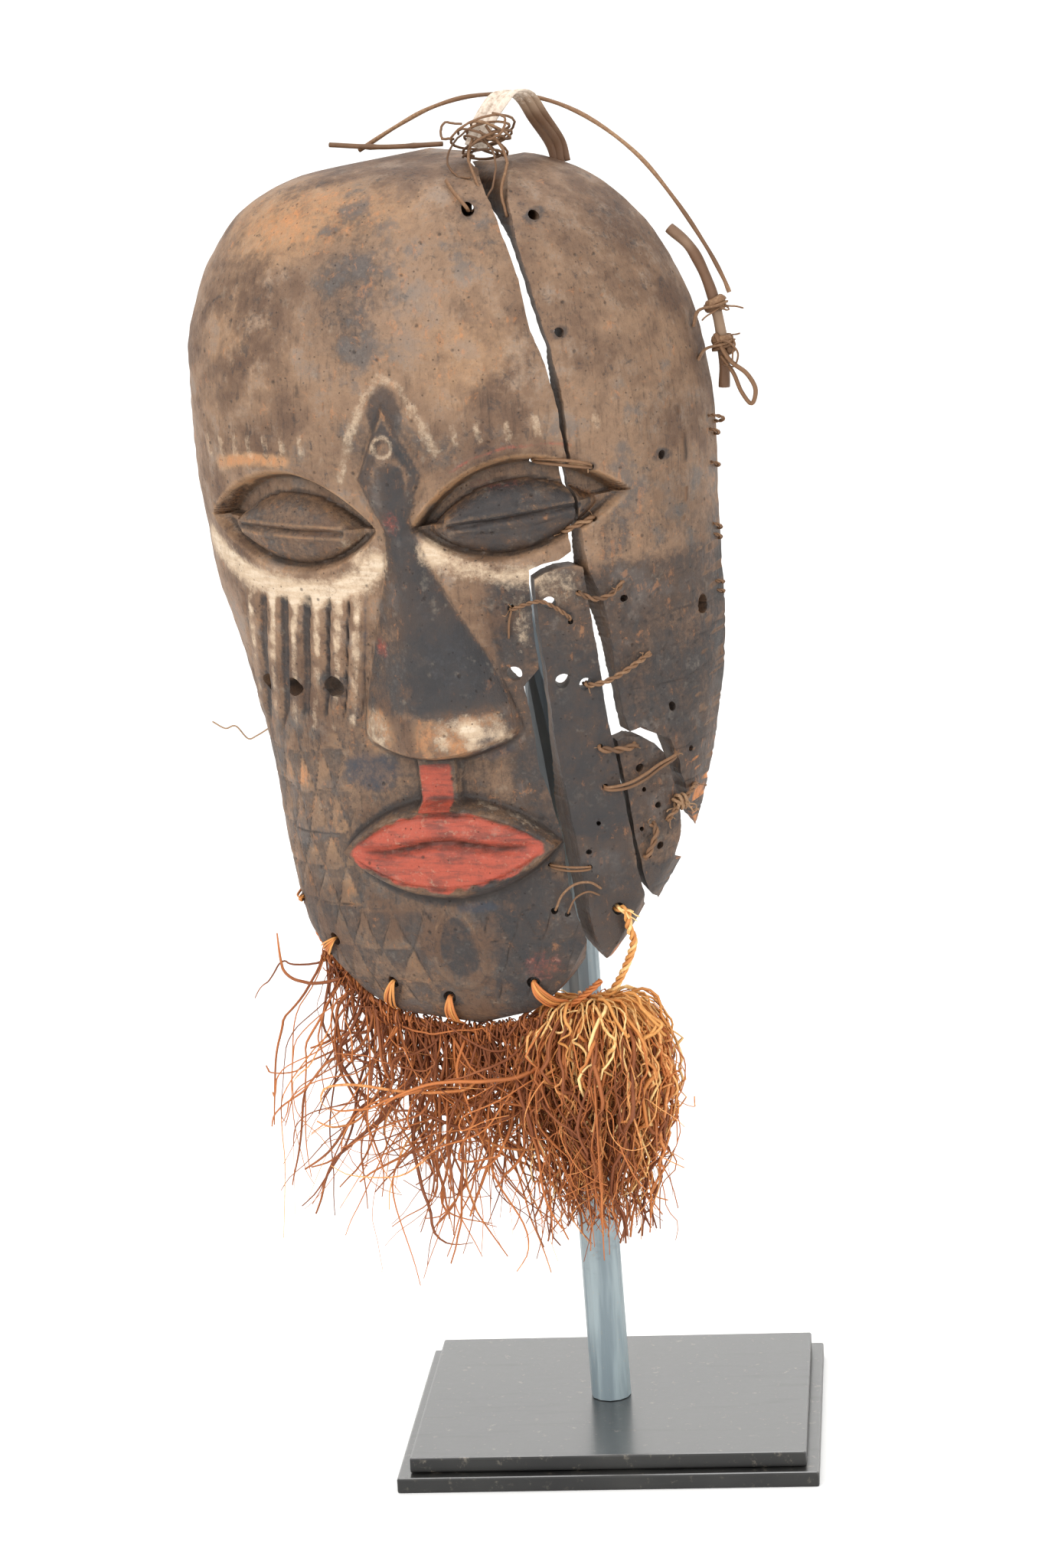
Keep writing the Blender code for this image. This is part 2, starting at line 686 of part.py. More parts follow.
# Laces over the breaks: two ends on the outside, and how high the middle stands off
def lace(name, ends, look=CANE, bulge=1.0, width=1.0):
    points = []
    for one, two in zip(ends, ends[1:]):
        for step in range(4):
            t = step / 4.0
            x = one[0] + (two[0] - one[0]) * t
            z = one[1] + (two[1] - one[1]) * t
            points.append((x, z, math.sin(math.pi * t)))
    points.append((ends[-1][0], ends[-1][1], 0.0))
    radius = LACE_DIAMETER * width / 2.0
    course = []
    for x, z, rise in points:
        lift = GAP + radius + LACE_LIFT * (1.0 + rise * bulge)
        course.append(on_skin(x, z, lift))
    return wire(name, course, 2.0 * radius, look, mask_pose)


lace("lace_eye_upper", [(54.5, 30.5), (71.5, 26.5)], bulge=1.5, width=1.3)
lace("lace_eye_lower", [(62.0, 4.0), (71.0, 7.0)], width=1.2)
lace("lace_slat_temple_upper", [(62.7, -19.0), (70.5, -21.5), (76.7, -17.0)])
lace("lace_face_slat_upper", [(39.1, -23.0), (49.5, -20.5), (58.0, -27.0)], width=0.8)
lace("lace_slat_temple_middle", [(62.0, -54.5), (72.0, -51.0), (80.5, -46.5)], bulge=1.8)
lace("lace_slat_jaw_upper", [(63.1, -79.0), (74.5, -78.5)], bulge=1.5, width=1.3)
lace("lace_slat_jaw_lower", [(63.4, -94.0), (75.5, -91.5), (84.5, -87.5)], bulge=1.2, width=1.2)
lace("lace_jaw_temple", [(80.8, -109.5), (87.2, -100.5)], bulge=1.2)
lace("lace_jaw_lower", [(72.4, -122.0), (76.3, -110.5)], bulge=1.8, width=1.2)
lace("lace_face_slat_lower", [(42.2, -120.7), (55.3, -123.1)])

# Thin cane hoop over the crown, from the left of the crown to the right rim
HOOP = [(-27, 144.6), (-10.2, 152.6), (4.5, 158.2), (21.5, 160.9), (42.6, 159.0), (62.7, 150.5), (82.0, 134.6),
        (95.5, 116.1), (105.6, 98.4), (111.0, 86.5), (113.0, 80.5)]
wire("crown_hoop", through([place(x, -4, z) for x, z in HOOP], 22), HOOP_DIAMETER, CANE, mask_pose)

# Stick lying across the crown
wire("crown_stick", through([place(-36, -11, 148.0), place(-14, -12, 145.4), place(10, -13, 144.6)], 6),
     STICK_DIAMETER, CANE, mask_pose)


# Flat split cane folded over the crown, out of the top of the break and down behind the temple board
def band(name, spots, width, thickness, look, parent):
    course = through([place(*spot[:3]) for spot in spots], 2 * len(spots))
    rings = []
    for index, centre in enumerate(course):
        before = course[max(index - 1, 0)]
        after = course[min(index + 1, len(course) - 1)]
        run = (after - before).normalized()
        side = Vector((1.0, 0.25, 0.0))
        side = (side - run * side.dot(run)).normalized()
        front = run.cross(side)
        ring = []
        for across, through_it in ((-1, -0.5), (-0.6, -1), (0.6, -1), (1, -0.5), (1, 0.5), (0.6, 1), (-0.6, 1), (-1, 0.5)):
            ring.append(centre + side * across * width / 2.0 + front * through_it * thickness / 2.0)
        rings.append(ring)
    return add_object(name, loft(name, rings), look, parent, smooth_angle=35)


band("crown_band", [(30.0, -33, 143.0), (33.5, -30, 152.5), (39.5, -24, 160.8), (44.0, -15, 160.0),
                    (46.5, -7, 151.0), (49.0, 2.6, 141.0), (50.0, 3.4, 133.0)],
     BAND_WIDTH, BAND_THICKNESS, PALE, mask_pose)


def ring_piece(name, centre, tilt, major, minor, look, squash=1.0):
    """Wound binding as one plain ring."""
    bpy.ops.mesh.primitive_torus_add(major_segments=14, minor_segments=6, major_radius=major, minor_radius=minor)
    made = bpy.context.object
    for owner in list(made.users_collection):
        owner.objects.unlink(made)
    PARTS.objects.link(made)
    made.name = name
    made.data.name = name
    for vertex in made.data.vertices:
        vertex.co.z *= squash
    made.data.materials.append(look)
    made.data.shade_smooth()
    made.parent = mask_pose
    made.location = centre
    made.rotation_euler = [math.radians(angle) for angle in tilt]
    return made


ring_piece("crown_knot", place(32.5, -31.0, 150.0), (8, 12, 0), 0.88 * BAND_WIDTH, 0.22 * BAND_WIDTH, CANE, 1.5)

# Cane rod along the right rim with its two flat ties
RIM_X = half_width(1, 60)
ROD = [(92.0, 106.0), (98.5, 99.5), (102.5, 92.0), (106.0, 81.0), (108.0, 68.0), (108.4, 55.0), (107.5, 45.5)]
rod_course = through([place(x, -3.5, z) for x, z in ROD], 16)
wire("rim_cane", rod_course, RIM_CANE_DIAMETER, PALE, mask_pose)
for label, level, turn in (("rim_tie_upper", 75.2, -16.0), ("rim_tie_lower", 62.0, -4.0)):
    near = min(rod_course, key=lambda point: abs(point.z - level * KZ))
    ring_piece(label, near, (0, turn, 0), 0.84 * RIM_CANE_DIAMETER + GAP, 0.32 * RIM_CANE_DIAMETER, CANE, 1.9)
LOOP = [(110.5, 58.0), (113.5, 55.0), (118.2, 50.5), (121.5, 44.5), (119.0, 38.6), (115.5, 44.5), (112.8, 51.0)]
wire("rim_hanging_loop", [place(x, -9.0, z) for x, z in LOOP], LACE_DIAMETER, CANE, mask_pose, closed=True)

# Beard: a cord along the edge of the chin, a fringe hanging from it and a tuft at the right
def chin_height(x):
    """Height of the mask's lower outline above x, in the carver's units."""
    low, high = BOTTOM, -100.0
    for _ in range(40):
        z = (low + high) / 2.0
        if half_width(x, z) < abs(x):
            low = z
        else:
            high = z
    return high


CHIN_LEFT = -66.0
CHIN_RIGHT = 50.0
CHIN_SPOTS = 15
CORD_DROP = CORD_DIAMETER / 2.0 + GAP * 3.0
FRINGE_DROP = CORD_DROP + CORD_DIAMETER / 2.0 + GAP * 2.0


def chin_spot(step, drop):
    """Point a length outside the chin's lower outline."""
    x = CHIN_LEFT + step * (CHIN_RIGHT - CHIN_LEFT) / (CHIN_SPOTS - 1)
    slope = (chin_height(x + 1.0) - chin_height(x - 1.0)) / 2.0 * KZ / KX
    level = chin_height(x)
    size = math.hypot(slope, 1.0)
    return place(x, station(level, 4) - 3.0, level) + Vector((slope, 0.0, -1.0)) * (drop / size)


wire("beard_cord", [chin_spot(step, CORD_DROP) for step in range(CHIN_SPOTS)], CORD_DIAMETER, GOLD, mask_pose)


FRINGE_SPOTS = 10


def fringe_section(step):
    """Oval section of the hanging fringe, its lower end about level all along."""
    top = chin_spot(step, FRINGE_DROP)
    foot = place(0, 0, BOTTOM).z - BEARD_LENGTH
    reach = 1.0 - 0.05 * math.cos(step * 1.3)
    spread = BEARD_LENGTH * (0.13 * step / (FRINGE_SPOTS - 1) - 0.10)
    half = BEARD_THICKNESS / 2.0
    hang = (top.z - foot) * reach
    if step in (0, FRINGE_SPOTS - 1):
        half *= 0.6
        hang *= 0.8
    ring = []
    for turn in range(10):
        angle = 2.0 * math.pi * turn / 10
        down = (1.0 - math.cos(angle)) / 2.0
        thick = math.sin(angle) * half * (0.45 + 0.75 * down)
        ring.append(top + Vector((spread * down, thick, -hang * down)))
    return ring


fringe = loft("beard_fringe", [fringe_section(step) for step in range(FRINGE_SPOTS)])
add_object("beard_fringe", fringe, RUST, mask_pose, smooth_angle=60)

# Tuft bound to the right end of the cord, and the cord that ties it to the slat
TUFT_X = 43.0
tuft_top = place(TUFT_X, -37.0, chin_height(TUFT_X)) - Vector((0.0, 0.0, FRINGE_DROP * 1.9))
tuft_middle = tuft_top - Vector((0.0, 0.0, TUFT_LENGTH / 2.0))


def tuft_ring(turn):
    """One level of the tuft: round at the top, slacker and flatter below."""
    rise = math.cos(turn)
    around = math.sin(turn)
    ring = []
    for corner in range(12):
        angle = 2.0 * math.pi * corner / 12
        wave = 1.0 + 0.07 * math.sin(angle * 3.0 + turn * 2.0)
        ring.append(tuft_middle + Vector((math.cos(angle) * TUFT_WIDTH / 2.0 * around * wave,
                                          math.sin(angle) * TUFT_DEPTH / 2.0 * around * wave,
                                          rise * TUFT_LENGTH / 2.0)))
    return ring


turns = [math.radians(12 + step * 156 / 8) for step in range(9)]
tuft = loft("beard_tuft", [tuft_ring(turn) for turn in turns])
add_object("beard_tuft", tuft, RUST, mask_pose, smooth_angle=60)

CORD_LIFT = GAP + TUFT_CORD_DIAMETER
tail = [on_skin(64.5, -142.0, CORD_LIFT), on_skin(63.0, -149.0, CORD_LIFT * 1.2), on_skin(60.5, -157.0, CORD_LIFT * 1.5)]
tail.append(tuft_top + Vector((0.28 * TUFT_WIDTH, -0.10 * TUFT_DEPTH, 1.35 * TUFT_CORD_DIAMETER)))
tail.append(tuft_top + Vector((0.16 * TUFT_WIDTH, -0.045 * TUFT_DEPTH, TUFT_CORD_DIAMETER * 0.5 + GAP * 3.0)))
wire("tuft_cord", through(tail, 10), TUFT_CORD_DIAMETER, GOLD, mask_pose)
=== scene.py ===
"""Dresses the carved wooden mask on its stand: painted boards, laces, raffia beard, tube and base."""

import json
import math

import bmesh
import bpy
import numpy as np
from bpy.props import FloatProperty, FloatVectorProperty, IntProperty, PointerProperty
from mathutils import Euler, Matrix, Vector

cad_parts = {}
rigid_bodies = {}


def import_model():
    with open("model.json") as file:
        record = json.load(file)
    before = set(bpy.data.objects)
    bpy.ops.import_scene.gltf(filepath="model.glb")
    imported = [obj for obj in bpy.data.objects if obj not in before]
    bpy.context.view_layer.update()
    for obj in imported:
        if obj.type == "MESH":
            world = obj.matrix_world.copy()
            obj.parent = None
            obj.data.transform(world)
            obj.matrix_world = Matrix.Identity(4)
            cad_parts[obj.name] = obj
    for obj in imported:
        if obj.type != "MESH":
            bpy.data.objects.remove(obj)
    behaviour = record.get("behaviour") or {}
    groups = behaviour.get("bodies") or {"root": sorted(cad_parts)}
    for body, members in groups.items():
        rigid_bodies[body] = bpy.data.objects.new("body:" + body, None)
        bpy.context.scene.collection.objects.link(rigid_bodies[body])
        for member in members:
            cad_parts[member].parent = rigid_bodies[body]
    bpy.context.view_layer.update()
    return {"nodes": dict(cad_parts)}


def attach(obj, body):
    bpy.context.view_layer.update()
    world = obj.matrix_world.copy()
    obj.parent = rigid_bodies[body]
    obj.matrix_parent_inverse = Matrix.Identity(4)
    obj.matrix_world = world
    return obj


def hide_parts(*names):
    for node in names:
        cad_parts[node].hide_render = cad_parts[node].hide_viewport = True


bl_info = {
    "name": "Carved mask on stand",
    "version": (1, 0, 0),
    "blender": (4, 5, 0),
    "location": "View3D > Sidebar > Mask",
    "description": "Boards, paint, laces, beard and stand of a carved wooden mask",
    "category": "Object",
}

for left_over in list(bpy.data.objects):
    bpy.data.objects.remove(left_over, do_unlink=True)
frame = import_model()
NODES = frame["nodes"]
BODY = "root"

# Where the mask hangs, and its proportions: the same values as the solids have
MASK_PLACE = Vector((-0.0389934, -0.0020170, 0.3717965))
MASK_TURN = Euler((0.0, math.radians(-3.0), math.radians(-13.5)), "XYZ")
MASK_POSE = Matrix.Translation(MASK_PLACE) @ MASK_TURN.to_matrix().to_4x4()
UNIT = 0.001
ROUND = 2.3
SIGHT = math.radians(20.0)
WALL = 12.0
RIM_INSET = 3.0
STATIONS = np.array([
    (-187, 0, 0, 0, -48), (-181, 30, 30, 9, -48), (-168, 50, 51, 20, -45), (-145, 68, 70, 36, -36),
    (-120, 76.5, 84, 50, -22), (-80, 83.5, 94, 64, -8), (-40, 92.5, 98.5, 74, 0), (0, 100, 100, 80, 0),
    (40, 102, 102, 82, 0), (75, 100.5, 98, 80, 0), (105, 91, 85, 72, 0), (125, 76, 67, 60, 0),
    (137, 52, 43, 43, 0), (143, 0, 0, 0, 0),
], float)
BOTTOM, TOP = STATIONS[0, 0], STATIONS[-1, 0]
MIDDLE = (TOP + BOTTOM) / 2.0
SHRINK = 1.0 - WALL / (TOP - MIDDLE)


def column_slopes(column):
    """Slopes that keep a curve through the stations from overshooting."""
    steps = np.diff(STATIONS[:, column]) / np.diff(STATIONS[:, 0])
    slopes = [steps[0]]
    for left, right in zip(steps, steps[1:]):
        slopes.append(0.0 if left * right <= 0.0 else 2.0 * left * right / (left + right))
    slopes.append(steps[-1])
    return np.array(slopes)


SLOPES = [None] + [column_slopes(column) for column in range(1, 5)]


def station(z, column):
    """One measure of the mask at height z, in millimetres."""
    z = np.clip(z, BOTTOM, TOP)
    index = np.clip(np.searchsorted(STATIONS[:, 0], z, side="left") - 1, 0, len(STATIONS) - 2)
    z0, z1 = STATIONS[index, 0], STATIONS[index + 1, 0]
    v0, v1 = STATIONS[index, column], STATIONS[index + 1, column]
    m0, m1 = SLOPES[column][index], SLOPES[column][index + 1]
    span = z1 - z0
    t = (z - z0) / span
    ends = (2 * t ** 3 - 3 * t ** 2 + 1) * v0 + (3 * t ** 2 - 2 * t ** 3) * v1
    return ends + ((t ** 3 - 2 * t ** 2 + t) * m0 + (t ** 3 - t ** 2) * m1) * span


def half_width(x, z):
    return np.where(np.asarray(x) < 0, station(z, 1), station(z, 2))


def skin_y(x, z):
    """Depth of the smooth outside at x, z."""
    width = np.maximum(half_width(x, z), 1e-6)
    share = np.clip(np.abs(x) / width, 0.0, 1.0)
    return station(z, 4) - station(z, 3) * (1.0 - share ** ROUND) ** (1.0 / ROUND)


def outward(x, z):
    """Level direction out of the smooth outside."""
    width = np.maximum(half_width(x, z), 1.0)
    depth = np.maximum(station(z, 3), 1.0)
    share = np.clip(np.abs(x) / width, 0.0, 1.0)
    rise = (1.0 - share ** ROUND) ** (1.0 / ROUND)
    nx = np.sign(x) * share ** (ROUND - 1.0) / width
    ny = -(rise ** (ROUND - 1.0)) / depth
    size = np.maximum(np.hypot(nx, ny), 1e-9)
    return nx / size, ny / size


def smooth(value):
    value = np.clip(value, 0.0, 1.0)
    return value * value * (3.0 - 2.0 * value)


def bow(t, height, lean=1.0):
    t = np.clip(t, 0.0, 1.0) ** lean
    return height * np.abs(np.sin(math.pi * t)) ** 0.75


def fold(z, low, high, soft=3.0):
    """1 between low and high, fading outside over a soft edge."""
    return smooth((z - low) / soft + 0.5) * smooth((high - z) / soft + 0.5)


def spot(x, z, middle, radii, soft=0.35):
    """1 inside an oval, fading out."""
    away = np.hypot((x - middle[0]) / radii[0], (z - middle[1]) / radii[1])
    return smooth((1.0 + soft - away) / (2.0 * soft))


def near_line(x, z, points, width, soft=0.6):
    """1 on a broken line through the points, fading past its half-width."""
    best = np.full(np.shape(x), 1e9)
    for (ax, az), (bx, bz) in zip(points, points[1:]):
        run = max((bx - ax) ** 2 + (bz - az) ** 2, 1e-9)
        t = np.clip(((x - ax) * (bx - ax) + (z - az) * (bz - az)) / run, 0.0, 1.0)
        best = np.minimum(best, np.hypot(x - ax - t * (bx - ax), z - az - t * (bz - az)))
    return smooth((width + soft - best) / (2.0 * soft))


def wander(x, z, seed, size):
    """Slow random field from -1 to 1, the same on every run."""
    rng = np.random.default_rng(seed)
    total = np.zeros(np.shape(x))
    for _ in range(7):
        angle = rng.uniform(0, 2 * math.pi)
        pitch = size * rng.uniform(0.6, 1.7)
        shift = rng.uniform(0, 2 * math.pi)
        total = total + np.sin((x * math.cos(angle) + z * math.sin(angle)) * 2 * math.pi / pitch + shift)
    return total / 4.0


# Carving
def eye_line(x):
    along = (np.abs(x + 0.5) - 7.0) / 76.0
    share = np.clip(along, 0.0, 1.0)
    return along, 10.0 + 6.0 * share, bow(share, 21.0), bow(share, 17.5, 0.9)


def eye_form(x, z):
    """Sunken leaf-shaped socket with a closed bulging lid, its creases and its slit."""
    along, axis, above, below = eye_line(x)
    inside = np.minimum(axis + above - z, z - axis + below)
    within = (along > 0.0) & (along < 1.0) & (inside > 0.0)
    depth = np.where(z > axis, 9.0, 5.0)
    form = -depth * smooth(inside / 3.6)
    lid_along = (along - 0.08) / 0.80
    slit = axis - 1.5
    room = bow(lid_along, 13.0)
    off = np.abs(z - slit) / np.maximum(room, 0.1)
    on_lid = (lid_along > 0.0) & (lid_along < 1.0) & (off < 1.0)
    bulge = (depth + 0.5) * (1.0 - np.clip(off, 0, 1) ** 2) ** 0.6 * np.minimum(1.0, room / 6.0)
    form = form + np.where(on_lid, bulge, 0.0)
    on_slit = (lid_along > 0.12) & (lid_along < 0.9)
    cut = 1.6 * np.clip(1.0 - np.abs(z - slit) / 1.5, 0.0, 1.0)
    lips = 0.5 * smooth(1.0 - np.abs(np.abs(z - slit) - 2.6) / 1.8)
    form = form + np.where(on_slit, lips - cut, 0.0)
    for rise in (5.2, -5.0, -7.6):
        bow_at = rise * np.sin(np.clip(lid_along, 0, 1) * math.pi)
        crease = 0.38 * smooth(1.0 - np.abs(z - slit - bow_at) / 0.9)
        form = form - np.where(on_slit & on_lid, crease, 0.0)
    lip = 1.0 * smooth(1.0 - np.abs(inside + 2.2) / 2.8) * smooth(1.0 - np.abs(along - 0.5) / 0.53)
    return np.where(within, form, lip)


def nose_line(z):
    fall = np.clip((12.0 - z) / 90.0, 0.0, 1.0)
    return 1.5 + 6.0 * fall, 6.0 + 25.0 * smooth(fall * 1.05) ** 0.9


def nose_under(x):
    return -79.0 + 9.0 * np.minimum(np.abs(x - 7.0) / 32.0, 1.06) ** 2.0


def nose_form(x, z):
    middle, half = nose_line(z)
    height = 2.5 + 13.5 * np.clip((12.0 - z) / 78.0, 0.0, 1.0)
    off = np.abs(x - middle) / half
    tip = smooth((z - nose_under(x)) / 5.0)
    steep = smooth((-38.0 - z) / 24.0)
    gentle = (1.0 - np.clip(off, 0, 1) ** 1.6) ** 1.05
    form = height * (gentle + (((1.0 - np.clip(off, 0, 1) ** 1.5) ** 0.75) - gentle) * steep) * tip
    return np.where((z <= 12.0) & (z >= -84.0), form, 0.0)


MOUTH_LEVEL = -112.0


def mouth_room(x):
    along = np.minimum(np.abs(x - 4.5) / 43.0, 1.0)
    return 20.5 * (1.0 - along ** 2.0) ** 0.82


def mouth_inside(x, z):
    """Distance inside the mouth's outline."""
    room = mouth_room(x)
    return np.where(room > 0.4, room - np.abs(z - MOUTH_LEVEL), -30.0)


def lip_line(x):
    """Height of the wavy line between the lips."""
    return MOUTH_LEVEL + 2.2 + 1.2 * np.cos((x - 4.0) / 7.0) - 0.0016 * (x - 4.0) ** 2


def mouth_form(x, z):
    along = np.abs(x - 4.5) / 43.0
    inside = mouth_inside(x, z)
    form = 8.0 * smooth(inside / 5.0)
    form = form - 1.3 * smooth(1.0 - np.abs(inside - 6.2) / 1.6) * smooth((0.9 - along) / 0.2)
    away = np.abs(z - lip_line(x))
    fade = np.clip(1.0 - (along / 0.86) ** 4, 0.0, 1.0)
    form = form - 2.8 * np.clip(1.0 - away / 3.0, 0.0, 1.0) * fade
    form = form + 0.8 * smooth(1.0 - np.abs(away - 4.5) / 3.5) * fade
    return np.where((along < 1.0) & (inside > 0.0), form, 0.0)


def bar_form(x, z):
    return np.where((z > -96.0) & (z < -76.0), 4.0 * smooth((9.0 - np.abs(x - 4.0)) / 2.5), 0.0)


def crest_half(z):
    return np.where(z > 30.0, 15.0 * (60.0 - z) / 30.0, 15.0 - 9.0 * (30.0 - z) / 22.0)


def crest_form(x, z):
    """Arrowhead panel on the forehead, with a raised outline and a ring."""
    half = crest_half(z)
    off = half - np.abs(x - 1.0)
    form = 2.8 * smooth(off / 4.6)
    form = form - 0.5 * smooth(1.0 - np.abs(off - 6.5) / 2.8) * fold(z, 24, 54)
    ring = np.hypot(x - 0.0, (z - 40.0) * 0.9)
    form = form + 0.7 * smooth(1.0 - np.abs(ring - 4.2) / 1.6)
    return np.where((z < 60.0) & (z > 8.0), form, 0.0)


STRIPES = [-67.0, -56.0, -45.0, -34.5, -25.5, -17.5]
STRIPE_LEAN = 0.23


def stripe_offset(x, z):
    """Distance to the nearest cheek stripe's middle, and whether the place is on the striped cheek."""
    straight = x - STRIPE_LEAN * (z + 10.0)
    best = np.full(np.shape(x), 1e9)
    for middle in STRIPES:
        best = np.minimum(best, np.abs(straight - middle))
    low = -64.0 + 3.0 * np.sin(x * 0.7)
    field = fold(z, low, -13.0 - 4.0 * smooth((x + 40.0) / 30.0), 6.0)
    field = field * smooth((straight + 73.0) / 3.0) * smooth((-12.0 - straight) / 3.0)
    return best, field


def stripe_form(x, z):
    best, field = stripe_offset(x, z)
    groove = smooth((best - 2.4) / 2.0)
    form = (0.5 - 1.7 * groove) * field
    for middle in (31.0, 41.5):
        away = np.abs(x - middle + 0.12 * (z + 15.0))
        form = form + 0.8 * smooth(1.0 - away / 2.2) * fold(z, -44.0, -17.0, 8.0)
    return form


def lattice_lines(u, v, across, tall):
    """Distance in millimetres to a net of incised triangles, and which triangle is a pale one."""
    u, v = u + 1.9 * wander(u, v, 51, 46.0) + 0.7 * wander(u, v, 52, 17.0), v + 2.1 * wander(u, v, 53, 40.0)
    row = np.floor(v / tall)
    rise = v / tall - row
    shift = (row % 2) * 0.5
    a = (u / across + rise * 0.5 + shift) % 1.0
    b = (u / across - rise * 0.5 + shift) % 1.0
    lean = math.hypot(tall, across / 2.0)
    reach = across * tall / lean
    nearest = np.minimum(np.minimum(a, 1.0 - a), np.minimum(b, 1.0 - b)) * reach
    nearest = np.minimum(nearest, np.minimum(rise, 1.0 - rise) * tall)
    pale = (a > b).astype(float)
    return nearest, pale


def girth(x, z):
    """Length round the mask from its middle, about, in millimetres."""
    share = np.clip(np.abs(x) / np.maximum(half_width(x, z), 1.0), 0.0, 1.0)
    return np.sign(x) * (np.abs(x) + station(z, 3) * (1.0 - (1.0 - share ** ROUND) ** (1.0 / ROUND)) * 0.75)


DROP_MIDDLE = (3.0, -151.0)


def drop_shape(x, z):
    """Less than 1 inside the drop on the chin, 1 on its ring's middle."""
    wide = 9.5 * (1.0 - 0.25 * (z - DROP_MIDDLE[1]) / 16.0)
    return np.hypot((x - DROP_MIDDLE[0]) / wide, (z - DROP_MIDDLE[1]) / 16.0)


def jaw_field(x, z):
    """Where the jaw and chin carry incised triangles."""
    outside_mouth = smooth((-mouth_inside(x, z) - 3.0) / 2.0)
    outside_mouth = np.where(np.abs(x - 4.5) > 45.0, 1.0, outside_mouth)
    left = smooth((-30.0 - x) / 6.0) * smooth((-64.0 - z) / 4.0)
    under = smooth((-134.0 - z) / 4.0)
    side = smooth((z + 176.0) / 4.0)
    field = np.maximum(left, under) * outside_mouth * side
    return field * smooth((drop_shape(x, z) - 1.25) / 0.2) * smooth((58.0 - x) / 6.0)


def right_field(x, z):
    """Where the right cheek carries incised triangles."""
    return smooth((x - 72.0) / 3.0) * fold(z, -150.0, -10.0, 5.0)


def incised_form(x, z):
    u = girth(x, z)
    away, _ = lattice_lines(u + 3.0, z + 180.0, 14.0, 15.0)
    form = -0.6 * smooth(1.0 - away / 0.8) * jaw_field(x, z) * (0.55 + 0.45 * wander(x, z, 54, 30.0))
    away, _ = lattice_lines(u, z + 84.0, 15.0, 13.0)
    form = form - 0.5 * smooth(1.0 - away / 0.7) * right_field(x, z) * (0.6 + 0.4 * wander(x, z, 55, 30.0))
    ring = drop_shape(x, z)
    form = form + 0.9 * smooth(1.0 - np.abs(ring - 1.0) / 0.24) - 0.7 * smooth((0.78 - ring) / 0.25)
    oval = np.hypot((u - girth(93.0, 24.0)) / 12.0, (z - 24.0) / 27.0)
    form = form + 0.7 * smooth(1.0 - np.abs(oval - 1.0) / 0.14)
    return form + 0.5 * smooth(1.0 - np.abs(oval - 0.55) / 0.14)


BROW_DASHES = [-80, -72, -64.5, -57.5, -50, -42, -33.5, 27, 35.5, 46, 56, 75]


def brow_form(x, z):
    form = 0.0 * x
    for index, middle in enumerate(BROW_DASHES):
        away = np.abs(x - middle + 0.1 * (z - 42.0))
        high = 47.0 + 2.0 * math.sin(index * 2.3)
        form = form + 0.55 * smooth(1.0 - away / 2.3) * fold(z, 38.5, high, 4.0)
    return form


def worn_form(x, z):
    """Slight unevenness of knife work and wear, and a few pits."""
    form = 0.30 * wander(x, z, 11, 26.0) + 0.14 * wander(x, z, 12, 9.0)
    rng = np.random.default_rng(31)
    for _ in range(70):
        px, pz = rng.uniform(-90, 95), rng.uniform(-165, 130)
        size = rng.uniform(0.7, 2.0)
        form = form - 0.5 * spot(x, z, (px, pz), (size, size * rng.uniform(0.6, 1.4)), 0.6)
    return form


def carving(x, z):
    raised = np.maximum(np.maximum(nose_form(x, z), bar_form(x, z)), np.maximum(crest_form(x, z), 0.0))
    form = eye_form(x, z) + raised + mouth_form(x, z) + stripe_form(x, z)
    return form + incised_form(x, z) + brow_form(x, z) + worn_form(x, z)


# Broken edges and holes as on the solids; a few stretches lean more, to show light and dark
FACE_EDGE = [
    (22.7, 150, 0.2), (22.7, 140, 0.2), (31.4, 135.6, 0.3), (35.1, 131.4, 0.3), (40.8, 123.6, 0.35),
    (47.5, 109.3, 0.35), (52.4, 96.3, 0.35), (56.5, 77.8, 0.35), (60.5, 65.3, 0.35), (63.6, 48.9, 0.35),
    (64.2, 31.7, 0.35), (65.0, 17.1, 0.35), (64.8, 7.1, 0.35), (62.3, 1.5, 0.35), (62.1, -3.4, 0.35),
    (57.6, -6.2, 0.3), (52.6, -6.8, 0.3), (46.9, -8.6, 0.4), (46.1, -27.7, 0.4), (45.2, -46.3, 0.4),
    (39.1, -52.5, 0.4), (40.9, -69.8, 0.4), (41.8, -85.0, 0.4), (44.5, -95.5, 0.4), (47.0, -108.0, 0.4),
    (47.3, -130.0, 0.4), (49.7, -143.3, 0.4), (51.6, -157.0, 0.3), (51.6, -166.0, 0.3),
    (51.6, -200, 0.3),
]
TEMPLE_EDGE = [
    (36.0, 150, 0.5), (37.6, 138.2, 0.5), (41.8, 134.9, 0.45), (45.9, 123.5, 0.3), (51.3, 108.7, 0.1),
    (57.8, 88.0, 0.1), (62.6, 69.8, 0.1), (65.2, 51.0, 0.3), (65.8, 31.4, 0.3), (66.5, 18.3, 0.3),
    (66.4, 7.9, 0.3), (66.2, 1.6, 0.3), (67.6, -12.9, 0.45), (70.2, -23.0, 0.55), (70.7, -40.4, 0.30),
    (70.8, -54.4, 0.2), (71.7, -66.7, 0.2), (73.4, -74.2, 0.25), (77.3, -73.1, 0.36),
    (81.2, -77.0, 0.36), (84.6, -80.0, 0.36), (86.3, -88.4, 0.36), (86.6, -100.7, 0.36),
    (86.4, -110.8, 0.30), (84.9, -120.2, 0.2), (82.0, -128.4, 0.1),
]
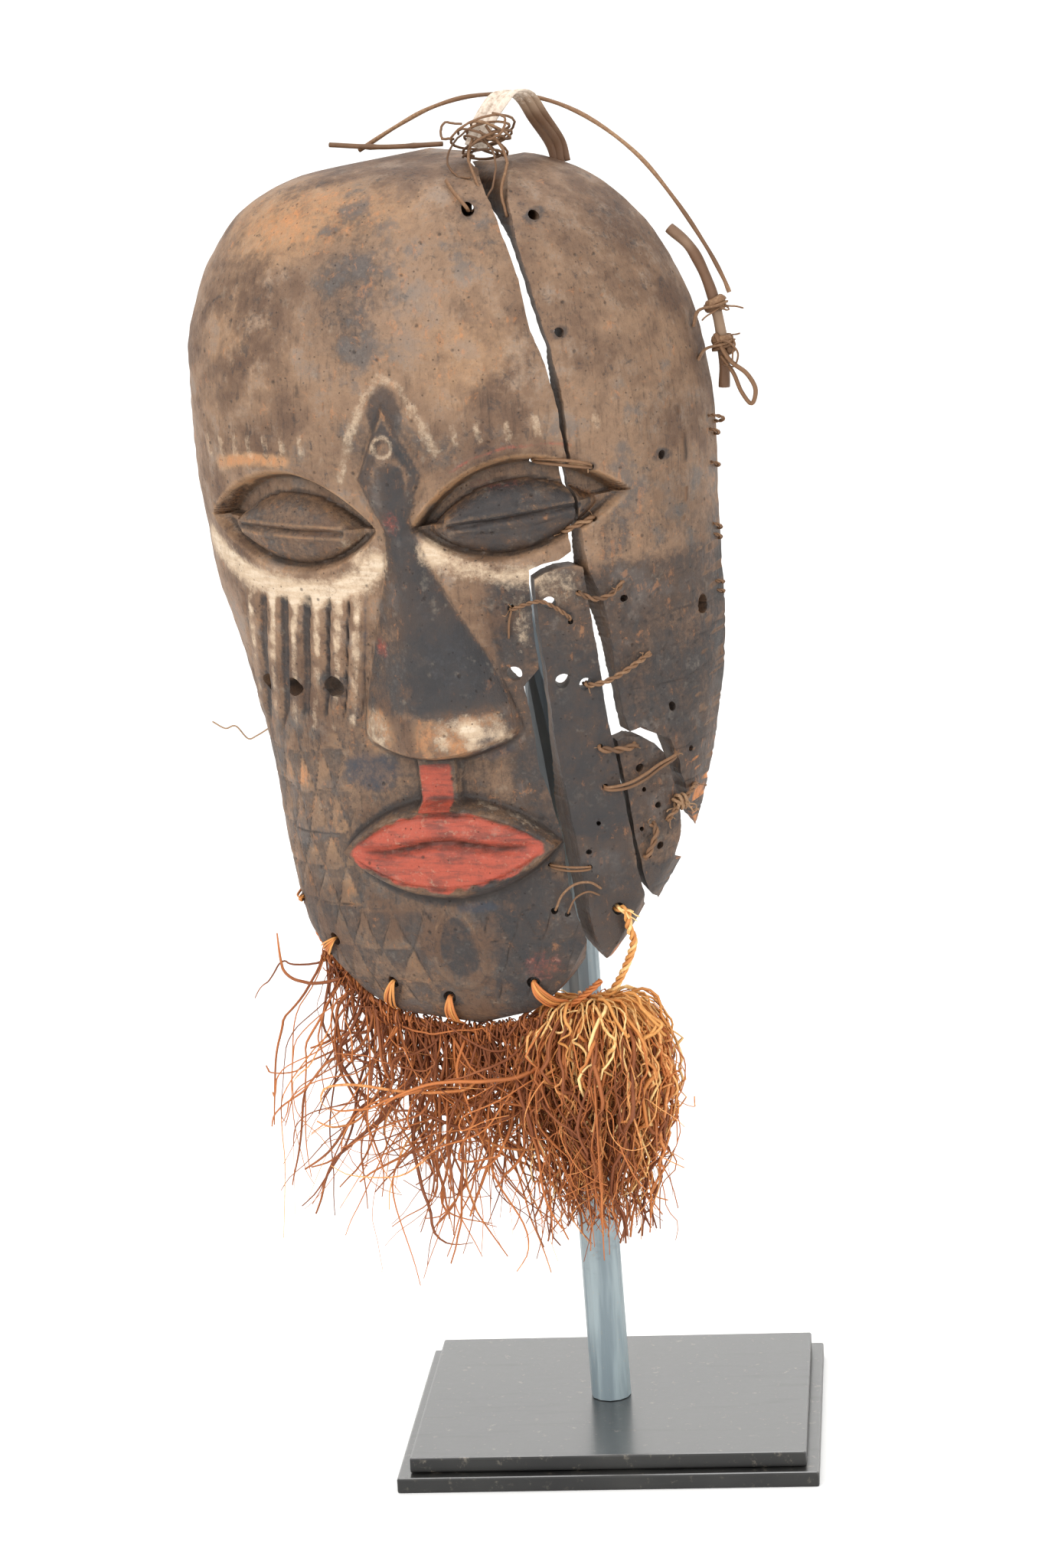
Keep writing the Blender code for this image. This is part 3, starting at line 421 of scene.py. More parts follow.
SLAT_EDGE = [
    (65.2, -9.9, 0.2), (63.1, -8.9, 0.2), (57.8, -9.0, 0.2), (52.5, -10.4, 0.1), (48.6, -12.5, 0.1),
    (47.9, -28.0, 0.1), (47.6, -46.0, 0.1), (48.0, -64.0, 0.1), (49.0, -84.0, 0.2), (50.6, -97.7, 0.4),
    (52.2, -115.9, 0.4), (53.8, -134.4, 0.4), (53.8, -150.0, 0.3), (54.8, -160.8, 0.2),
    (56.0, -163.6, 0.1), (60.5, -158.2, 0.1), (65.1, -152.0, 0.1), (69.6, -146.5, 0.15),
    (71.2, -136.4, 0.15), (70.4, -119.3, 0.15), (69.2, -99.9, 0.15), (68.0, -83.2, 0.15),
    (66.9, -69.6, 0.15), (66.0, -50.0, 0.2), (65.7, -32.7, 0.3), (65.4, -19.1, 0.35),
]
JAW_EDGE = [
    (72.6, -148.0, 0.1), (72.5, -136.4, 0.15), (71.7, -119.3, 0.15), (70.5, -99.9, 0.15),
    (69.4, -84.0, 0.15), (69.2, -77.0, 0.15), (72.4, -75.8, 0.1), (76.9, -76.8, 0.3),
    (80.2, -80.2, 0.34), (82.6, -84.4, 0.34), (84.0, -92.0, 0.34), (84.6, -101.2, 0.34),
    (84.4, -109.6, 0.3), (83.2, -118.5, 0.2), (79.9, -127.6, 0.2), (86.0, -133.0, 0.1),
    (80.0, -152.0, 0.1),
]
HOLES = {
    "face": [
        (-70.6, -49.9, 6.8), (-54.6, -50.1, 7.8), (-35.9, -49.4, 8.6), (36.5, -47.3, 5.6),
        (33.0, 122.3, 5.0), (39.1, -22.2, 2.8), (41.6, -138.3, 2.8), (46.0, -140.2, 2.2),
        (41.8, -120.7, 1.8), (-66.5, -135.0, 2.8), (-50.5, -149.0, 5.0), (-28.0, -166.0, 4.6),
        (-5.7, -172.4, 5.4), (28.5, -167.0, 5.0), (53.9, 30.8, 2.6),
    ],
    "temple": [
        (92.1, 26.5, 3.4), (76.7, -23.9, 2.8), (55.2, 117.7, 4.0), (65.5, 76.1, 3.6),
        (86.4, -68.0, 3.4), (96.5, -33.0, 7.0), (71.9, 26.3, 2.4), (71.0, 7.3, 2.2), (89.5, -86.0, 2.4),
        (90.0, -100.0, 2.2),
    ],
    "slat": [
        (53.0, -51.8, 5.4), (60.8, -54.1, 5.0), (52.5, -21.7, 5.0), (63.0, -141.0, 5.0),
        (62.7, -19.4, 2.2), (58.7, -29.7, 2.2), (63.1, -78.2, 2.2), (63.4, -93.4, 2.2),
        (55.7, -117.3, 2.2), (55.4, -123.1, 2.0), (60.0, -107.0, 1.8),
    ],
    "jaw": [
        (75.0, -88.5, 3.2), (78.0, -119.8, 3.0), (79.0, -104.0, 2.6), (73.5, -111.8, 1.8),
        (74.6, -122.6, 2.0), (75.6, -97.0, 1.8), (74.3, -79.6, 1.6),
    ],
}
ACROSS = np.array((math.cos(SIGHT), math.sin(SIGHT), 0.0))
INWARDS = np.array((-math.sin(SIGHT), math.cos(SIGHT), 0.0))


def fill_in(values, gap):
    """Evenly more values between the given ones, none further apart than gap."""
    found = [values[0]]
    for one, two in zip(values, values[1:]):
        steps = max(int(math.ceil(abs(two - one) / gap)), 1)
        found += [one + (two - one) * (step + 1) / steps for step in range(steps)]
    return found


ROWS = [("level", value) for value in (-181, -171, -160, -149, -140)]
ROWS += [("mouth", value) for value in (-1.05, -0.80, -0.45, -0.14, 0.05, 0.22, 0.50, 0.80, 1.05)]
ROWS += [("level", -86.5)]
ROWS += [("under", value) for value in (-0.3, 2.6, 5.6)]
ROWS += [("level", value) for value in (-57, -48, -39, -30, -21, -12)]
ROWS += [("eye", value) for value in (-1.05, -0.88, -0.68, -0.40, -0.17, -0.085, 0.0, 0.22, 0.46, 0.60,
                                      0.87, 1.04)]
ROWS += [("brow", 39)]
ROWS += [("level", value) for value in (50, 61, 75, 92, 106, 117, 126, 132.5, 137.5, 141)]
LEAST_ROOM = 5.0


def row_height(kind, value, x):
    if kind == "mouth":
        return MOUTH_LEVEL + value * np.maximum(mouth_room(x), LEAST_ROOM)
    if kind == "under":
        return nose_under(x) + value
    if kind in ("eye", "brow"):
        _, axis, above, below = eye_line(x)
        if kind == "brow":
            return 0.6 * (axis + np.maximum(above, LEAST_ROOM) * 1.04) + 0.4 * value
        return axis + value * np.maximum(above if value > 0 else below, LEAST_ROOM)
    return np.full(np.shape(x), float(value))


def column_place(x, z):
    """Draws the columns beside the nose on to its edges."""
    middle, half = nose_line(z)
    strength = smooth((-1.0 - z) / 11.0) * smooth((z + 94.0) / 12.0)
    size = np.abs(x)
    side = np.where(x < 0, -1.0, 1.0)
    edge = middle + half * side
    far = edge + (45.0 * side - edge) * (size - 25.0) / 20.0
    drawn = np.where(size < 25.0, middle + x * half / 25.0, np.where(size < 45.0, far, x))
    return x + (drawn - x) * strength


def skin_grid(first, last, low, high, gap):
    """Fine grid over part of the carved outside: x, z and the displaced points, rows by columns."""
    base = [-1.0, -0.985, -0.95, -0.90] + [-0.85 + 0.05 * step for step in range(31)]
    base += [0.70, 0.75, 0.80, 0.85, 0.90, 0.95, 0.985, 1.0]
    shares = np.array([share for share in fill_in(base, gap / 100.0) if first <= share <= last])
    rings = []
    for kind, value in ROWS:
        x = shares * 95.0
        z = row_height(kind, value, x)
        for _ in range(4):
            x = column_place(shares * np.where(shares < 0, station(z, 1), station(z, 2)), z)
            z = row_height(kind, value, x)
        rings.append((x, z))
    zs = []
    for (_, z0), (_, z1) in zip(rings, rings[1:]):
        steps = max(int(math.ceil(np.max(np.abs(z1 - z0)) / gap)), 1)
        for step in range(steps):
            zs.append(z0 + (z1 - z0) * step / steps)
    zs.append(rings[-1][1])
    zs = np.array(zs)
    xs = column_place(shares * np.where(shares < 0, station(zs, 1), station(zs, 2)), zs)
    keep = (zs.max(axis=1) > low) & (zs.min(axis=1) < high)
    xs, zs = xs[keep], zs[keep]
    nx, ny = outward(xs, zs)
    height = carving(xs, zs)
    points = np.stack([xs + nx * height, skin_y(xs, zs) + ny * height, zs], axis=-1)
    return xs, zs, points


def new_mesh(name, verts, faces):
    data = bpy.data.meshes.new(name)
    data.from_pydata([tuple(point) for point in verts], [], faces)
    data.update()
    return data


def skin_solid(name, first, last, low, high, gap):
    """Closed solid behind a part of the carved outside, flat at the back."""
    _, zs, points = skin_grid(first, last, low, high, gap)
    rim = station(zs, 4)
    rows = []
    for index in range(len(points)):
        ring = [point for point in points[index]]
        level = points[index, -1, 2]
        start = points[index, 0, 2]
        if last < 1.0:
            ring.append(np.array((points[index, -1, 0], rim[index, -1], level)))
        if first > -1.0:
            ring.insert(0, np.array((points[index, 0, 0], rim[index, 0], start)))
        rows.append(np.array(ring))
    count = len(rows[0])
    verts = np.concatenate(rows)
    faces = []
    for row in range(len(rows) - 1):
        one, two = row * count, (row + 1) * count
        for column in range(count):
            after = (column + 1) % count
            faces.append((one + column, one + after, two + after, two + column))
    tips = []
    for row, inset in ((0, low <= BOTTOM), (len(rows) - 1, high >= TOP)):
        ring = rows[row]
        if inset:
            level = BOTTOM if row == 0 else TOP
            tip = np.array((0.0, station(level, 4), level))
        else:
            tip = ring.mean(axis=0)
        tips.append(tip)
        centre = len(verts) + len(tips) - 1
        for column in range(count):
            after = (column + 1) % count
            one, two = row * count + column, row * count + after
            faces.append((centre, two, one) if row == 0 else (centre, one, two))
    verts = np.concatenate([verts, np.array(tips)]) * UNIT
    return solid_object(name, verts, faces)


def solid_object(name, verts, faces):
    data = new_mesh(name, verts, faces)
    shape = bmesh.new()
    shape.from_mesh(data)
    bmesh.ops.recalc_face_normals(shape, faces=shape.faces)
    shape.to_mesh(data)
    shape.free()
    made = bpy.data.objects.new(name, data)
    bpy.context.scene.collection.objects.link(made)
    return made


def loft_object(name, rings, flat_sides=False):
    """Closed solid through rings of equally many points."""
    count = len(rings[0])
    verts = np.concatenate(rings)
    faces = []
    for row in range(len(rings) - 1):
        for column in range(count):
            after = (column + 1) % count
            one, two = row * count, (row + 1) * count
            if flat_sides:
                faces += [(one + column, one + after, two + after),
                          (one + column, two + after, two + column)]
            else:
                faces.append((one + column, one + after, two + after, two + column))
    faces.append(tuple(reversed(range(count))))
    faces.append(tuple(range((len(rings) - 1) * count, len(rings) * count)))
    return solid_object(name, verts, faces)


def hollow_object():
    """The mask's inside, with shallow marks of the adze."""
    levels = np.array(fill_in([-165, -130, -75, 0, 75, 118, 137, 140], 4.0))
    shares = np.array(fill_in([-1.0, -0.97, -0.9, 0.9, 0.97, 1.0], 0.045))
    rings = []
    for z in levels:
        level = MIDDLE + (z - MIDDLE) * SHRINK
        left = max(float(station(z, 1)) - WALL, 4.0)
        right = max(float(station(z, 2)) - WALL, 4.0)
        depth = max(float(station(z, 3)) - WALL, 2.0)
        rim = float(station(z, 4))
        x = shares * np.where(shares < 0, left, right)
        rise = (1.0 - np.abs(shares) ** ROUND) ** (1.0 / ROUND)
        marks = 0.35 * np.sin(x * 0.45 + 2.0 * np.sin(z * 0.11)) * np.sin(z * 0.33 + x * 0.05)
        marks = marks * np.minimum(rise * 2.0, 1.0)
        y = rim - (depth + marks) * rise
        ring = np.stack([x, y, np.full(len(x), level)], axis=-1)
        ends = np.array([(-left, 40.0, level)]), np.array([(right, 40.0, level)])
        rings.append(np.concatenate([ends[0], ring, ends[1]]) * UNIT)
    return loft_object("hollow", rings)


def jagged(traced, closed, seed):
    """The traced broken line with small splinters between its points."""
    rng = np.random.default_rng(seed)
    points = []
    run = traced + traced[:1] if closed else traced
    drift = 0.0
    for one, two in zip(run, run[1:]):
        length = math.hypot(two[0] - one[0], two[1] - one[1])
        steps = max(int(length / 2.0), 1)
        for step in range(steps):
            t = step / steps
            rough = 0.16 if closed else 0.24
            drift = drift * 0.72 + rng.uniform(-rough, rough)
            shift = 0.0 if abs(one[1]) > 139 else drift
            points.append(tuple(one[axis] + (two[axis] - one[axis]) * t + (shift if axis == 0 else 0.0)
                                for axis in range(3)))
    if not closed:
        points.append(traced[-1])
    return points


NEAR = -0.7 * WALL
DEEP = 2.5 * WALL


def edge_object(name, traced, far, front, back):
    """Block whose broken side runs through the traced line and slants through the wall."""
    rings = []
    for run, plane in ((NEAR, front), (NEAR, None), (DEEP, None), (DEEP, back)):
        ring = []
        for x, z, slant in traced:
            spot_at = np.array((x, float(skin_y(x, z)), z))
            depth = spot_at @ INWARDS + run if plane is None else plane
            ring.append(ACROSS * (spot_at @ ACROSS - slant * run) + INWARDS * depth + np.array((0, 0, z)))
        for across, z in far:
            depth = run if plane is None else plane
            ring.append(ACROSS * across + INWARDS * depth + np.array((0, 0, z)))
        rings.append(np.array(ring) * UNIT)
    return loft_object(name, rings, flat_sides=True)


def hole_object(name, holes):
    shape = bmesh.new()
    for index, (x, z, width) in enumerate(holes):
        nx, ny = outward(x, z)
        out = Vector((float(nx), float(ny), 0.0))
        turn = out.to_track_quat("Z", "Y").to_matrix().to_4x4()
        at = Matrix.Translation(Vector((x, float(skin_y(x, z)), z)) * UNIT) @ turn
        made = bmesh.ops.create_cone(shape, cap_ends=True, segments=18, radius1=width * UNIT / 2.0,
                                     radius2=width * UNIT / 2.0, depth=WALL * 3.4 * UNIT,
                                     matrix=Matrix.Identity(4))
        for vertex in made["verts"]:
            angle = math.atan2(vertex.co.y, vertex.co.x)
            swell = 1.0 + 0.07 * math.sin(2 * angle + index) + 0.04 * math.sin(3 * angle + 2.0 * index)
            vertex.co.x *= swell
            vertex.co.y *= swell
            vertex.co = at @ vertex.co
    data = bpy.data.meshes.new(name)
    shape.to_mesh(data)
    shape.free()
    made = bpy.data.objects.new(name, data)
    bpy.context.scene.collection.objects.link(made)
    return made


def cut(target, cutter, operation="DIFFERENCE"):
    step = target.modifiers.new(cutter.name, "BOOLEAN")
    step.operation = operation
    step.solver = "EXACT"
    step.object = cutter


def bake_shape(made):
    """Leaves the object with the shape that its modifiers give."""
    bpy.context.view_layer.update()
    graph = bpy.context.evaluated_depsgraph_get()
    data = bpy.data.meshes.new_from_object(made.evaluated_get(graph))
    made.modifiers.clear()
    made.data = data


def points_of(data):
    flat = np.empty(len(data.vertices) * 3, np.float32)
    data.vertices.foreach_get("co", flat)
    return flat.reshape(-1, 3).astype(float)


def give(data, name, values):
    """Stores how much of one finish each point carries."""
    layer = data.attributes.new(name, "FLOAT", "POINT")
    layer.data.foreach_set("value", np.clip(values, 0.0, 1.6).astype(np.float32))


# Strands, cords and knots
def through(points, count):
    """Points of a smooth curve through the given ones."""
    points = np.array(points, float)
    padded = np.vstack([2 * points[0] - points[1], points, 2 * points[-1] - points[-2]])
    made = []
    for t in np.linspace(0.0, len(points) - 1.0, count):
        index = min(int(t), len(points) - 2)
        u = t - index
        a, b, c, d = padded[index:index + 4]
        made.append(0.5 * (2 * b + (c - a) * u + (2 * a - 5 * b + 4 * c - d) * u ** 2
                           + (3 * b - a - 3 * c + d) * u ** 3))
    return np.array(made)


def spaced(path, gap):
    """The path again with points an even gap apart, and how far along each is."""
    steps = np.linalg.norm(np.diff(path, axis=0), axis=1)
    along = np.concatenate([[0.0], np.cumsum(steps)])
    at = np.linspace(0.0, along[-1], max(int(along[-1] / gap), 2) + 1)
    return np.stack([np.interp(at, along, path[:, axis]) for axis in range(3)], axis=1), at


def squared(path, aim=None):
    """Two directions square to the path at each of its points."""
    run = np.gradient(path, axis=0)
    run = run / np.maximum(np.linalg.norm(run, axis=1, keepdims=True), 1e-9)
    side = np.cross(run[0], (0.0, 0.0, 1.0) if abs(run[0][2]) < 0.9 else (1.0, 0.0, 0.0))
    sides = []
    for step in run:
        side = side if aim is None else np.array(aim, float)
        side = side - step * side.dot(step)
        side = side / max(np.linalg.norm(side), 1e-9)
        sides.append(side)
    sides = np.array(sides)
    return sides, np.cross(run, sides)


class Bundle:
    """Gathers strands into one mesh, each with its own shade; all sizes in metres."""

    def __init__(self):
        self.points, self.faces, self.shades, self.count = [], [], [], 0

    def strand(self, path, radius, shade, sides=5, flat=1.0, turn=0.0, aim=None):
        path = np.array(path, float)
        one, two = squared(path, aim)
        radius = np.broadcast_to(radius, len(path))[:, None, None]
        angle = np.linspace(0.0, 2 * math.pi, sides, endpoint=False)[None, :, None]
        broad = one * math.cos(turn) + two * math.sin(turn)
        thin = two * math.cos(turn) - one * math.sin(turn)
        ring = path[:, None, :] + radius * (np.cos(angle) * broad[:, None, :]
                                            + flat * np.sin(angle) * thin[:, None, :])
        index = self.count + np.arange(len(path) * sides).reshape(len(path), sides)
        after = np.roll(index, -1, axis=1)
        quads = np.stack([index[:-1], after[:-1], after[1:], index[1:]], axis=-1).reshape(-1, 4)
        self.faces += [tuple(int(corner) for corner in quad) for quad in quads]
        self.faces += [tuple(int(corner) for corner in index[0][::-1]),
                       tuple(int(corner) for corner in index[-1])]
        self.points.append(ring.reshape(-1, 3))
        self.shades.append(np.broadcast_to(np.asarray(shade, float), len(path)).repeat(sides))
        self.count += len(path) * sides

    def twisted(self, path, width, shade=0.5, strands=2, pitch=3.0, sides=6, gap=0.4):
        """Strands laid round each other into one cord."""
        path, at = spaced(np.array(path, float), width * gap)
        one, two = squared(path)
        spread = 0.27 if strands == 2 else 0.30
        for index in range(strands):
            angle = (2 * math.pi * (at / (width * pitch) + index / strands))[:, None]
            course = path + (one * np.cos(angle) + two * np.sin(angle)) * width * spread
            self.strand(course, width * (0.5 - spread + 0.035), shade + 0.16 * (index - 0.5), sides)

    def made(self, name):
        data = new_mesh(name, np.concatenate(self.points), self.faces)
        give(data, "shade", np.concatenate(self.shades))
        data.shade_smooth()
        made = bpy.data.objects.new(name, data)
        bpy.context.scene.collection.objects.link(made)
        return made


def at_mask(x, y, z):
    """Place in the room of a place in the mask's own millimetres."""
    return np.array(MASK_POSE @ (Vector((x, y, z)) * UNIT))


def over_skin(x, z, lift):
    """Place in the room that many millimetres above the carved outside."""
    nx, ny = (float(value) for value in outward(x, z))
    lift = lift + float(carving(np.array([float(x)]), np.array([float(z)]))[0])
    return at_mask(x + nx * lift, float(skin_y(x, z)) + ny * lift, z)


def chin_height(x):
    """Height of the mask's lower outline at x."""
    low, high = BOTTOM, -100.0
    for _ in range(30):
        z = (low + high) / 2.0
        if float(half_width(x, z)) < abs(x):
            low = z
        else:
            high = z
    return high


def rim_middle(level):
    """Depth of the middle of the mask's rim at that height."""
    return float(station(level, 4)) - RIM_INSET


def hair(rng, root, heading, length, steps=12, waver=0.4, kink=0.12, pull=0.12):
    """Path of one dry, kinked strand of raffia."""
    direction = np.array(heading, float)
    direction = direction / np.linalg.norm(direction)
    path = [np.array(root, float)]
    swing = rng.normal(size=3)
    for _ in range(steps):
        swing = 0.55 * swing + 0.8 * rng.normal(size=3)
        if rng.random() < kink:
            swing = swing + 2.2 * rng.normal(size=3)
        direction = direction + swing * waver * 0.5 + np.array((0.0, 0.0, -pull))
        direction = direction / np.linalg.norm(direction)
        path.append(path[-1] + direction * length / steps)
    return np.array(path)


def loops(centre, axis, radius, turns, drift, seed, wobble=0.12, start=0.0):
    """Path wound round a place, about an axis, with uneven turns."""
    rng = np.random.default_rng(seed)
    axis = np.array(axis, float) / np.linalg.norm(axis)
    one = np.cross(axis, (0.0, 0.0, 1.0) if abs(axis[2]) < 0.8 else (0.0, 1.0, 0.0))
    one = one / np.linalg.norm(one)
    two = np.cross(axis, one)
    path = []
    phase = rng.uniform(0, 6.3, 3)
    for t in np.linspace(0.0, turns, int(turns * 18) + 1):
        angle = start + 2 * math.pi * t
        swell = 1.0 + wobble * math.sin(1.7 * t + phase[0]) + wobble * 0.6 * math.sin(angle * 2 + phase[1])
        rise = drift * (t / turns - 0.5) + radius * 0.25 * math.sin(2.3 * t + phase[2])
        path.append(centre + (one * math.cos(angle) + two * math.sin(angle)) * radius * swell + axis * rise)
    return np.array(path)


# Paint, wear and dirt by place
def red_paint(x, z):
    inside = mouth_inside(x, z)
    lips = smooth((inside - 4.2 + 1.1 * wander(x, z, 61, 10.0)) / 2.6)
    lips = lips * smooth((38.5 - np.abs(x - 4.5)) / 4.0)
    bar = smooth((7.4 - np.abs(x - 3.4)) / 2.2) * fold(z, -97.0, -79.0, 2.0) * 0.9
    line = near_line(x, z, [(24, 30.0), (33, 34.6), (45, 37.3), (60, 37.0), (66, 35.5)], 0.9, 1.2) * 0.52
    low = spot(x, z, (0.0, 13.0), (5.0, 5.0), 0.6) * 0.45
    tint = spot(x, z, (34.0, -160.0), (9.0, 8.0), 0.6) * 0.4
    tint = tint + spot(x, z, (-11.0, -33.0), (3.5, 5.0), 0.6) * 0.5
    lid = spot(x, z, (40.0, 24.0), (16.0, 3.0), 0.6) * 0.35
    return np.maximum(np.maximum(lips, bar), line + low + tint + lid)


def white_clay(x, z):
    under = near_line(x, z, [(-88, 6), (-76, -1), (-62, -8), (-45, -11.5), (-28, -12), (-15, -8), (-9, -2)],
                      5.0, 4.6) * 1.1
    under2 = near_line(x, z, [(12, 2), (24, -6), (38, -10), (47, -10)], 4.0, 4.4) * 0.80
    rim = near_line(x, z, [(18, -94.5), (28, -98.0), (38, -103.5), (44, -109.0)], 1.4, 1.8) * 0.5
    best, field = stripe_offset(x, z)
    stripes = smooth((2.7 - best) / 2.0) * field * (0.80 + 0.35 * wander(x, z, 21, 8.0))
    stripes = stripes * (0.62 + 0.38 * smooth((z + 46.0) / 18.0))
    outline = near_line(x, z, [(-19, 30), (-14, 44), (-7, 58), (0, 66), (8, 62), (14, 50), (19, 38)],
                        2.6, 2.4) * 0.62
    ring = smooth(1.0 - np.abs(np.hypot(x, z - 41.0) - 3.6) / 2.0) * 0.7
    dashes = 0.0 * x
    for middle in BROW_DASHES:
        away = np.abs(x - middle + 0.1 * (z - 42.0))
        dashes = dashes + smooth((2.4 - away) / 1.6) * fold(z, 38.5, 48.0, 4.0) * 0.55
    tip_left = spot(x, z, (-17.0, -66.0), (8.5, 10.0), 0.5) * 0.55
    tip_right = spot(x, z, (20.0, -67.0), (13.0, 7.5), 0.6) * (0.72 + 0.35 * wander(x, z, 64, 9.0))
    tuft = spot(x, z, (-19.0, 3.0), (5.0, 6.0), 0.6) * 0.5 + spot(x, z, (12.0, -3.0), (4.0, 6.0), 0.7) * 0.4
    slat = spot(x, z, (56.0, -17.0), (9.0, 8.0), 0.6) * 0.55
    low = spot(x, z, (41.5, -28.0), (4.0, 12.0), 0.6) * 0.5
    return np.clip(under + under2 + rim + stripes + outline + ring + dashes + tip_left + tip_right + tuft
                   + slat + low, 0, 1)


def blue_paint(x, z):
    middle, half = nose_line(z)
    right = smooth((x - middle - 1.0) / 3.0) * smooth((middle + half - x + 3.0) / 4.0)
    right = right * fold(z, -56.0, -4.0, 8.0)
    left = smooth((middle - x - 1.0) / 3.0) * smooth((x - middle + half + 1.0) / 4.0)
    left = left * fold(z, -52.0, -6.0, 8.0)
    line = near_line(x, z, [(-14, -9), (-18, -27), (-22, -45), (-26, -58)], 1.2, 1.4) * 0.8
    patches = spot(x, z, (-24.0, -82.0), (14.0, 9.0), 0.5) * 0.7
    patches = patches + spot(x, z, (24.0, -76.0), (10.0, 4.0), 0.6) * 0.7
    below = spot(x, z, (13.0, -135.0), (10.0, 2.5), 0.7) * 0.7
    return np.clip(0.34 * right + 0.26 * left + line * 0.7 + patches + below, 0.0, 1.0)


def dark_patina(x, z):
    along, axis, above, below = eye_line(x)
    inside = np.minimum(axis + above - z, z - axis + below)
    lid_along = (along - 0.08) / 0.80
    room = bow(lid_along, 13.0)
    lid = smooth((room * 1.05 - np.abs(z - axis + 1.5)) / 2.0) * ((along > 0.05) & (along < 0.92))
    lid = lid * np.where(x < 0, 0.62, 1.05)
    socket = smooth(inside / 2.0) * ((along > 0) & (along < 1)) * np.where(x < 0, 0.30, 0.5)
    middle, half = nose_line(z)
    nose = smooth((half - np.abs(x - middle) + 1.0) / 3.0) * fold(z, -60.0, 34.0, 10.0)
    nose = nose * (0.76 + 0.70 * smooth((x - middle + 9.0) / 9.0))
    best, field = stripe_offset(x, z)
    grooves = smooth((best - 2.6) / 1.4) * field
    edge = crest_half(z) - np.abs(x - 1.0)
    arrow = 0.55 * smooth((edge - 2.0) / 2.5) + 0.75 * smooth(1.0 - np.abs(edge - 4.0) / 4.5)
    arrow = arrow * fold(z, 10.0, 59.0, 4.0)
    apex = spot(x, z, (1.0, 53.0), (7.0, 11.0), 0.4)
    # Broad darker regions, by place: a band over the lower cheeks, stronger towards the right, the right of
    # the face, the chin, the slat and the jaw.
    cheek = fold(z, -130.0, -52.0, 22.0) * (0.48 + 0.14 * smooth((x + 45.0) / 20.0))
    beside = smooth((x - 22.0) / 12.0) * fold(z, -120.0, -8.0, 14.0) * 0.84
    around = smooth(1.0 - np.abs(mouth_inside(x, z) - 0.5) / 7.0) * 0.9
    rim_low = spot(x, z, (28.0, -126.0), (18.0, 7.0), 0.5)
    chin = fold(z, -190.0, -124.0, 12.0) * (0.60 + 0.45 * smooth((x - 8.0) / 24.0))
    drop = smooth((0.95 - drop_shape(x, z)) / 0.25) * 0.9
    slat = smooth((x - 44.0) / 4.0) * smooth((72.0 - x) / 4.0) * fold(z, -170.0, -38.0, 18.0) * 1.1
    jaw = smooth((x - 68.0) / 4.0) * fold(z, -150.0, -74.0, 10.0) * 0.55
    # On the right edge: somewhat darker over the temple, and darker towards the bottom.
    uneven = z + 16.0 * wander(x, z, 72, 38.0) + 0.35 * (x - 86.0)
    lower = (0.78 - 0.34 * smooth((x - 76.0) / 12.0)) * smooth((36.0 - uneven) / 90.0)
    right = smooth((x - 66.0) / 8.0) * (0.36 * fold(z, -10.0, 84.0, 30.0) + lower)
    band = spot(x, z, (-10.0, 100.0), (20.0, 38.0), 0.8) * 0.62
    band = band + spot(x, z, (8.0, 38.0), (60.0, 14.0), 0.7) * 0.56
    band = band + spot(x, z, (44.0, 112.0), (22.0, 12.0), 0.8) * 0.5
    total = np.maximum.reduce([lid, socket, nose, grooves * 0.9, arrow, apex, around, rim_low, cheek,
                               beside, band, chin, drop, slat * 1.15, jaw * 1.2, right * 0.9])
    holes = 0.0 * x
    for group in HOLES.values():
        for hx, hz, width in group:
            holes = np.maximum(holes, spot(x, z, (hx, hz), (width * 0.9, width * 0.9), 0.4) * 0.7)
    return np.clip(np.maximum(total, holes), 0.0, 1.6)


